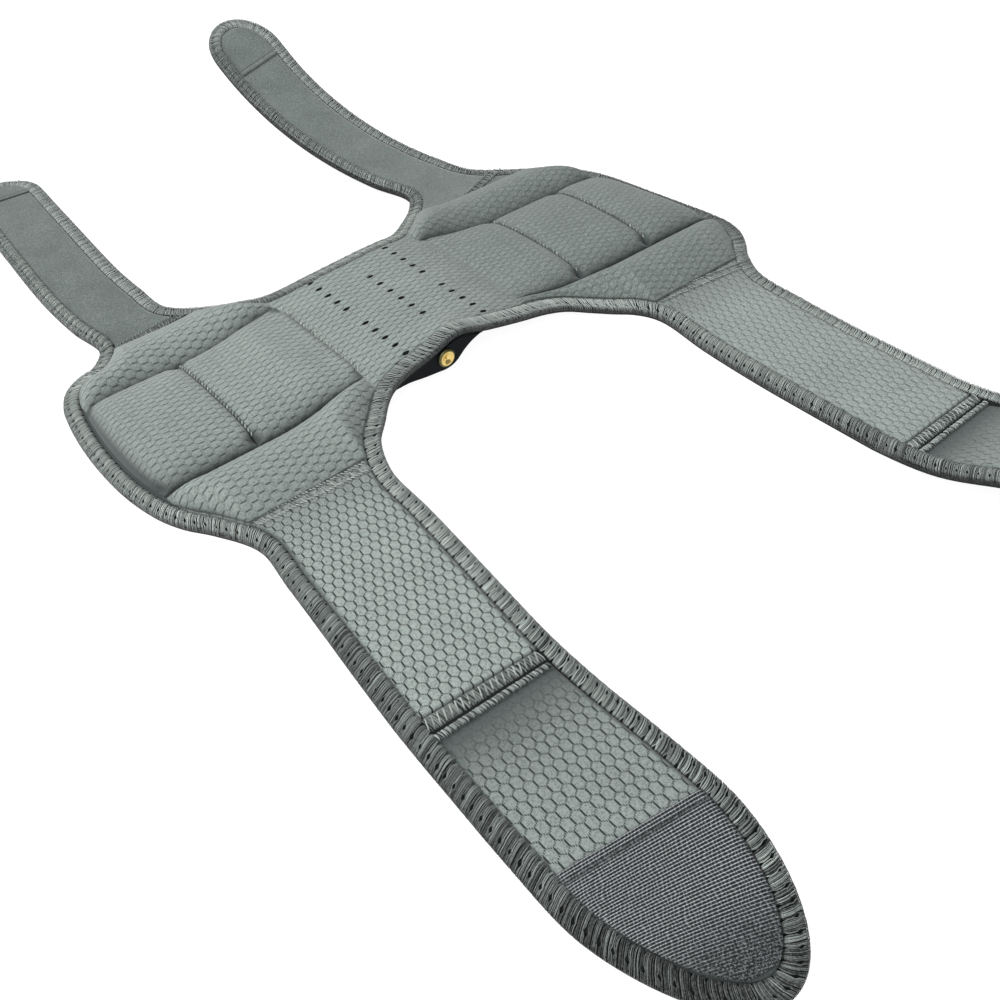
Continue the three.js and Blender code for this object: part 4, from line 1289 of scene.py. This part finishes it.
# painted light and shade along a thread, as shares of its tone from the third point on: lighter over
# the band's top, darker at the outer holes and darkest where it turns under the rim
STRAND_LIGHT = np.array([1.0, 1.05, 1.0, 0.8, 0.85, 0.55, 0.08, 0.03])
STITCH_LUMP = 0.22              # how much the middle of a stitch stands over its ends
EDGE_STOPS = np.array([
    # place in mm, tone of the threads as painted light and shade, its random spread, push of the holes,
    # painted light of the inner end, extra width
    [0, 0.9, 0.14, 0.5, 0.2, 0], [60, 1.0, 0.14, 0.55, 0.05, 0], [120, 0.96, 0.16, 0.55, 0.2, 0],
    [180, 0.68, 0.22, 0.6, 0.4, 0], [225, 0.46, 0.26, 0.62, 0.5, 0.15], [325, 0.24, 0.2, 0.62, 0.5, 0.15],
    [360, 0.05, 0.09, 0.5, 0.4, 0], [420, 0.46, 0.32, 0.5, 0.7, 0], [480, 0.6, 0.32, 0.5, 0.8, 0],
    [560, 0.82, 0.28, 0.5, 0.9, 0], [600, 0.82, 0.2, 0.5, 0.8, 0], [660, 0.56, 0.14, 0.42, 0.85, 0],
    [720, 0.74, 0.12, 0.42, 0.85, 0], [780, 1.0, 0.16, 0.55, 0.5, 0.08], [840, 0.94, 0.2, 0.62, 0.35, 0.18],
    [900, 0.56, 0.22, 0.6, 0.3, 0.1], [960, 0.56, 0.22, 0.5, 0.45, 0], [1140, 0.95, 0.12, 0.2, 1, 0],
    [1200, 1.15, 0.1, 0.15, 1, 0], [1260, 0.85, 0.1, 0.2, 1, 0], [1320, 0.36, 0.08, 0.15, 0.95, 0],
    [1500, 0.62, 0.08, 0.15, 0.95, 0], [1620, 0.74, 0.1, 0.2, 0.95, 0], [1700, 0.7, 0.12, 0.25, 0.95, 0],
    [1800, 0.84, 0.14, 0.25, 0.9, 0], [1900, 0.72, 0.12, 0.2, 1, 0], [2040, 0.6, 0.12, 0.25, 0.85, 0],
    [2160, 0.5, 0.1, 0.2, 0.8, 0], [2280, 0.85, 0.14, 0.25, 0.7, 0], [2340, 0.9, 0.14, 0.3, 0.5, 0],
    [2415, 0.9, 0.14, 0.5, 0.2, 0],
])
stitch_count = int(round(EDGE_LENGTH / STITCH))
strand_count = stitch_count * STRANDS
strand_pitch = EDGE_LENGTH / strand_count
print("stitches:", stitch_count, "threads:", strand_count)

# %% Paths of the threads
random = np.random.default_rng(7)


def edge_stop(at, column):
    """A column of the table, read off at distances along the edge."""
    return np.interp(at, EDGE_STOPS[:, 0], EDGE_STOPS[:, column])


def stitch_place(numbers):
    """Where a thread lies in its stitch, from -1 at one needle hole to 1 at the next."""
    return (numbers % STRANDS) * 2 / (STRANDS - 1) - 1


def strand_paths(numbers):
    """Threads from the band's inner side over its top and under its rim, pushed apart at needle holes."""
    inset, height = STRAND_PATH[:, 0], STRAND_PATH[:, 1]
    at = numbers[:, None] * strand_pitch
    in_stitch = stitch_place(numbers)[:, None]
    near_hole = sum(np.exp(-((inset - hole) ** 2) / 0.3) for hole in HOLE_INSETS)
    beside_hole = np.sign(in_stitch) * np.exp((np.abs(in_stitch) - 1) / HOLE_FALL)
    push = edge_stop(at, 3)
    lean = STRAND_LEAN * np.clip(1 - inset / LEAN_FROM, 0, 1) ** 1.5
    arch = np.sin(np.linspace(0, np.pi, len(inset)))
    wander = random.normal(0, 0.14, (len(numbers), 1)) * arch
    distance = at + lean - push * beside_hole * near_hole + wander
    wider = edge_stop(at, 5)
    lump = STITCH_LUMP * (np.cos(in_stitch * np.pi / 2) - 0.6) * arch
    over_cloth = 6 * wider * np.clip(inset / inset[0], 0, 1) ** 3
    bulge = lump + random.normal(0, 0.06, (len(numbers), 1)) + over_cloth
    return edge_place(distance, inset * (1 + wider), height + bulge)


print("a thread has", len(STRAND_PATH), "points")

# %% Threads of the edge band
RUN_NAMES = ["calf_end", "near_waist", "thigh_end", "far_waist"]


def tip_distance(name):
    """Distance along the edge of the point that is nearest to a strap's tip."""
    strap = STRAPS[name]
    tip, _ = strap_place(strap, np.array([strap["length"]]), np.array([0.0]))
    return raw_length[np.argmin(np.linalg.norm(raw_edge - tip, axis=1))]


tips = [tip_distance(name) for name in ("calf_strap", "thigh_strap", "thigh_loop", "calf_loop")]
strand_at = np.arange(strand_count) * strand_pitch
run_of_strand = np.searchsorted(tips, strand_at) % len(tips)
for run, run_name in enumerate(RUN_NAMES):
    numbers = np.flatnonzero(run_of_strand == run)
    paths = strand_paths(numbers)
    tone, spread, inner = (edge_stop(strand_at[numbers], column) for column in (1, 2, 4))
    own_tone = tone + spread * random.normal(0, 1, len(numbers))
    # painted highlight over the middle of each stitch, and painted light and shade along each thread
    own_tone = own_tone * (1.05 - 0.12 * stitch_place(numbers) ** 2)
    light = np.column_stack([inner, 0.5 + 0.5 * inner, np.tile(STRAND_LIGHT, (len(numbers), 1))])
    tones = np.clip(own_tone[:, None] * light, 0.03, 1.45)
    strands = thread_tubes(f"{run_name}_overlock", paths, STRAND_RADIUS, tones, OVERLOCK_THREAD, sides=3)
    print(strands.name, len(numbers), "threads")

# %% [markdown]
# ## Rolled seams and stitch lines
# Between the panels of a wide strap the cloth is rolled and oversewn, so that pale loops stand up over a
# dark core, with a row of chain stitches beside them. The straps' roots are oversewn in the same way.
# The seams between pads are single rows of small stitches. All are tubes again, laid on what is there.


# %% Threads that cross a seam
def overcast(name, sewing, first=0.0, pale=1.0):
    """Threads that cross a seam of a strap: each leans sideways and rises as a flattened sine."""
    strap = STRAPS[name]
    start = first + sewing["start"]
    end = first + sewing["end"]
    middle = np.array([(start + end) / 2, (start + end) / 2 + 0.1])
    offset = strap_rows(strap, middle, 3)[2][0]
    places = np.arange(offset[0] + 1.0, offset[-1] - 1.0, sewing["pitch"])
    t = np.linspace(0, 1, 7)
    across = places[:, None] + sewing["lean"] * (t - 0.5) + random.normal(0, 0.12, (len(places), 1))
    along = np.broadcast_to(start + (end - start) * t, across.shape)
    place, normal = strap_place(strap, along, across)
    rise = sewing["rise"] + random.normal(0, 0.12, (len(places), 1))
    height = sewing["low"] + rise * np.sin(t * np.pi) ** 0.4
    tones = np.clip(sewing["tone"] * pale + random.normal(0, sewing["spread"], len(places)), 0.03, 1)
    path = place + normal * height[..., None]
    return thread_tubes(f"{name}_{sewing['label']}", path, sewing["radius"], tones, OVERLOCK_THREAD)


ROLL_SEWING = [
    dict(label="roll_loops", start=0.4, end=6.2, low=3.4, rise=1.4,
         pitch=0.5, lean=1.2, radius=0.2, tone=0.32, spread=0.2),
    dict(label="roll_crossings", start=0.8, end=5.6, low=3.6, rise=1.5,
         pitch=2.1, lean=-1.5, radius=0.25, tone=0.85, spread=0.15),
    dict(label="roll_chain", start=6.6, end=9.2, low=3.5, rise=0.8,
         pitch=0.6, lean=0.8, radius=0.22, tone=0.5, spread=0.25),
    dict(label="roll_beads", start=6.8, end=9.2, low=3.5, rise=1.1,
         pitch=2.1, lean=0.5, radius=0.27, tone=0.8, spread=0.12),
]
ROOT_SEWING = [
    dict(label="root_filling_stitches", start=-0.6, end=4.0, low=3.6, rise=0.6,
         pitch=0.5, lean=1.0, radius=0.18, tone=0.5, spread=0.2),
    dict(label="root_inner_stitches", start=-0.9, end=0.5, low=4.1, rise=0.6,
         pitch=1.5, lean=1.3, radius=0.3, tone=1.0, spread=0.1),
    dict(label="root_outer_stitches", start=3.2, end=4.6, low=4.1, rise=0.6,
         pitch=1.5, lean=1.3, radius=0.3, tone=1.0, spread=0.1),
]
print("rows of threads:", len(ROLL_SEWING), "on a roll and", len(ROOT_SEWING), "on a root")

# %% Rolled seams and root seams
ROLL_TOP = 4.9
ROOT_PALE = {"calf_strap": 0.8, "thigh_strap": 0.55, "calf_loop": 0.42, "thigh_loop": 0.42}


def roll_core(name, strap):
    """The dark core of a rolled seam: a flattened half circle carried across the strap."""
    angle = np.linspace(0, np.pi, 11)
    along = strap["roll_at"] + SEAM_ROLL / 2 - (SEAM_ROLL / 2 - 0.2) * np.cos(angle)
    place, normal, offset, _ = strap_rows(strap, along, 41)
    height = (0.4 + (ROLL_TOP - 1.0) * np.sin(angle) ** 0.6)[:, None] * np.ones_like(offset)
    weave = across_and_along(offset, along)
    shade = np.zeros_like(offset)
    core = strap_layer(f"{name}_roll_core", place, normal, 0.0, height, weave, shade, [THREAD_BED])
    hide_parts(f"{name}_roll")


for name, strap in STRAPS.items():
    if name in WIDE_STRAPS:
        roll_core(name, strap)
        for sewing in ROLL_SEWING:
            overcast(name, sewing, first=strap["roll_at"])
    for sewing in ROOT_SEWING:
        overcast(name, sewing, pale=ROOT_PALE[name])
print("oversewn seams:", len(STRAPS) + len(WIDE_STRAPS))


# %% Rows of small stitches between the pads
def stitch_row(name, line, pitch, radius, tone, sway):
    """Short stitches along a line of points: each leans to one side and arches a little off the cloth."""
    steps = np.linalg.norm(np.diff(line, axis=0), axis=1)
    run = np.concatenate([[0], np.cumsum(steps)])
    starts = np.arange(0.3, run[-1] - pitch, pitch)
    t = np.linspace(0, 1, 5)
    at = starts[:, None] + t * pitch * 0.9
    place = np.stack([np.interp(at, run, line[:, axis]) for axis in range(3)], axis=-1)
    place[..., 0] += sway * (2 * t - 1)
    place[..., 2] += 0.3 * np.sin(t * np.pi)
    tones = np.clip(tone + random.normal(0, 0.2, len(starts)), 0.05, 1)
    return thread_tubes(name, place, radius, tones, OVERLOCK_THREAD)


SEAM_LINES = (-88.5, -39.4, 75.5, 116.5)
SEAM_STITCH = 2.2

for seam_x in SEAM_LINES:
    seam_y = np.linspace(-GROOVE + 3, GROOVE - 3, 61)
    at_waist = abs(seam_x) < 40
    swell = 0.6 if at_waist else PAD_HEIGHT * 0.8
    level = pad_base(np.full_like(seam_y, seam_x), seam_y) + PAD_RIM
    level = level + 0.5 + swell * np.sqrt(1 - np.abs(seam_y / GROOVE) ** PAD_ROUNDNESS)
    line = np.stack([np.full_like(seam_y, seam_x), seam_y, level], axis=-1)
    cuff, radius, tone = ("calf", 0.32, 0.72) if seam_x < 0 else ("thigh", 0.28, 0.5)
    stitch_row(f"{cuff}_seam_{abs(round(seam_x))}_stitches", line, SEAM_STITCH, radius, tone, 0.5)
print("stitch rows:", len(SEAM_LINES))

# %% [markdown]
# ## Spring plates and rivets
# The plates are small stampings with eased edges: an outline, two faces and a Bevel modifier. A rivet is
# a turned profile spun round its axis, with a dished head that catches the light.

# %% Shape of a spring plate
PLATE_FACE = 42.6
PLATE_THICK = 4.0
PLATE_BELLY = np.array([
    [-36.5, 7.2], [-31, 7.2], [-25, 7.2], [-18, 6.1], [-12, 5.4], [-6.5, 4.9], [-2, 6.1], [2.7, 9.8],
    [7, 12.3], [12, 13.9],
])
HINGES = [dict(side="near", sign=-1, drop=0.0), dict(side="far", sign=1, drop=2.4)]
RIVET_HEIGHT = 10.5


def smooth_row(keys, samples):
    """A row of points smoothed by a uniform Catmull-Rom spline with its ends repeated."""
    padded_keys = np.concatenate([keys[:1], keys, keys[-1:]])
    before, here, after, beyond = (padded_keys[i:len(padded_keys) - 3 + i] for i in range(4))
    t = np.linspace(0, 1, samples, endpoint=False)[None, :, None]
    curve = 2 * here[:, None] + (after - before)[:, None] * t
    curve = curve + (2 * before - 5 * here + 4 * after - beyond)[:, None] * t**2
    curve = curve + (3 * here - before - 3 * after + beyond)[:, None] * t**3
    return np.concatenate([curve.reshape(-1, 2) / 2, keys[-1:]])


print("points along a plate's lower edge:", len(smooth_row(PLATE_BELLY, 5)))

# %% Spring plates
for hinge in HINGES:
    belly = smooth_row(PLATE_BELLY - [0, hinge["drop"]], 5)
    top_x = np.linspace(PLATE_BELLY[-1, 0], PLATE_BELLY[0, 0], 40)
    top_z = cloth_rise(top_x, np.full_like(top_x, hinge["sign"] * PLATE_FACE)) - 0.3
    rim = np.concatenate([belly, np.stack([top_x, top_z], axis=-1)])
    count = len(rim)
    faces = [list(range(count)), list(range(2 * count - 1, count - 1, -1))]
    number = np.arange(count)
    after = np.roll(number, -1)
    faces += np.stack([after, number, number + count, after + count], axis=-1).tolist()
    levels = [np.full(count, hinge["sign"] * (PLATE_FACE - depth)) for depth in (0.0, PLATE_THICK)]
    front_back = [np.column_stack([rim[:, 0], level, rim[:, 1]]) for level in levels]
    if hinge["sign"] > 0:
        faces = [face[::-1] for face in faces]
    plate_mesh = bpy.data.meshes.new(f"spring_plate_{hinge['side']}_stamping")
    plate_mesh.from_pydata(in_room(np.concatenate(front_back)).tolist(), [], faces)
    plate_mesh.materials.append(SPRING_BLACK)
    plate = in_scene(plate_mesh.name, plate_mesh)
    ease = plate.modifiers.new("eased edges", "BEVEL")
    ease.width = 0.5 * MM
    ease.segments = 3
    made_pieces.append(plate)
    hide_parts(f"spring_plate_{hinge['side']}")
print("plates:", len(HINGES))

# %% Rivets
RIVET_PROFILE = np.array([
    [0.02, -0.2], [0.8, -0.3], [1.7, -0.75], [2.5, -1.2], [2.9, -1.34], [3.3, -1.25], [3.7, -0.95],
    [4.0, -0.6], [4.0, -0.3], [2.2, -0.3], [2.2, 4.3], [3.2, 4.3], [3.2, 5.2], [0.02, 5.2],
])
RIVET_SIDES = 40
RIVET_DULL_FROM = 3.1           # radius from which the head is dull

for hinge in HINGES:
    angle = np.arange(RIVET_SIDES) * 2 * np.pi / RIVET_SIDES
    radius, depth = RIVET_PROFILE[:, 0], RIVET_PROFILE[:, 1]
    x = RIVET_ALONG + np.cos(angle)[:, None] * radius
    z = RIVET_HEIGHT - hinge["drop"] + np.sin(angle)[:, None] * radius
    y = np.broadcast_to(hinge["sign"] * (PLATE_FACE - depth), x.shape)
    points = np.stack([x, y, z], axis=-1).reshape(-1, 3)
    ring = np.arange(RIVET_SIDES)[:, None] * len(radius)
    ring_next = (np.arange(RIVET_SIDES)[:, None] + 1) % RIVET_SIDES * len(radius)
    step = np.arange(len(radius) - 1)
    corners = [ring + step, ring_next + step, ring_next + step + 1, ring + step + 1]
    quads = np.stack(corners, axis=-1).reshape(-1, 4)
    poles = np.stack([ring[:, 0], ring[::-1, 0] + len(radius) - 1])
    faces = [quads, poles]
    if hinge["sign"] < 0:
        faces = [group[:, ::-1] for group in faces]
    rim_shade = np.tile((radius > RIVET_DULL_FROM) * 1.0, RIVET_SIDES)
    rivet = fill_mesh(f"hinge_rivet_{hinge['side']}_eyelet", points, faces, None, rim_shade, [RIVET_BRASS])
    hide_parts(f"hinge_rivet_{hinge['side']}")
print("rivets:", len(HINGES))

# %% [markdown]
# ## Stage and light
# The brace lies on a light table: a plain pale floor that glows by itself, so that shadows stay faint. A
# soft lamp stands behind it and a broader one in front, and an even white sky fills in, as in a product
# booth. Area lamps are used because their size alone decides how soft the shadows are.

# %% Stage and light
FLOOR_HALF = 20.0
floor_mesh = bpy.data.meshes.new("floor")
floor_corners = [(-FLOOR_HALF, -FLOOR_HALF, 0), (FLOOR_HALF, -FLOOR_HALF, 0),
                 (FLOOR_HALF, FLOOR_HALF, 0), (-FLOOR_HALF, FLOOR_HALF, 0)]
floor_mesh.from_pydata(floor_corners, [], [[0, 1, 2, 3]])
floor = in_scene("floor", floor_mesh)
pale = Finish(
    "pale floor", Roughness=0.8, Specular_IOR_Level=0.1, Base_Color=(0.22, 0.22, 0.22, 1),
    Emission_Color=(1, 1, 1, 1), Emission_Strength=0.92,
)
floor_mesh.materials.append(pale.material)

world = bpy.data.worlds.new("booth")
world.use_nodes = True
sky = world.node_tree.nodes["Background"]
sky.inputs["Color"].default_value = (1, 1, 1, 1)
sky.inputs["Strength"].default_value = 0.34
bpy.context.scene.world = world

LAMPS = [
    dict(name="key", at=(-0.55, 0.72, 1.05), size=0.7, watts=20),
    dict(name="fill", at=(-0.7, -0.9, 1.0), size=1.2, watts=18),
]
for lamp in LAMPS:
    lamp_data = bpy.data.lights.new(lamp["name"], "AREA")
    lamp_data.size = lamp["size"]
    lamp_data.energy = lamp["watts"]
    backwards = unit(np.array(lamp["at"]))
    sideways = unit(np.cross([0, 0, 1], backwards))
    axes = [sideways, np.cross(backwards, sideways), backwards]
    stand(in_scene(lamp["name"], lamp_data), axes, lamp["at"])
bpy.context.scene.view_settings.view_transform = "Standard"
print("lamps:", len(LAMPS))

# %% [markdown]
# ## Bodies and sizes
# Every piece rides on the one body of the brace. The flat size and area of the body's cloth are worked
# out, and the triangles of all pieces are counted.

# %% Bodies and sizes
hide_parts("body_panel")
body_flat = ((body_high - body_low).max() * MM, (body_x[-1] - body_x[0]) * MM)
body_area = sheet_area(np.stack([body_xx, body_y, body_floor], axis=-1)) * MM**2
body_area = min(body_area, body_flat[0] * body_flat[1])
for piece in made_pieces:
    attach(piece, "root")
triangles = [len(piece.data.loops) - 2 * len(piece.data.polygons) for piece in made_pieces]
print("triangles:", sum(triangles), "largest piece:", max(triangles))
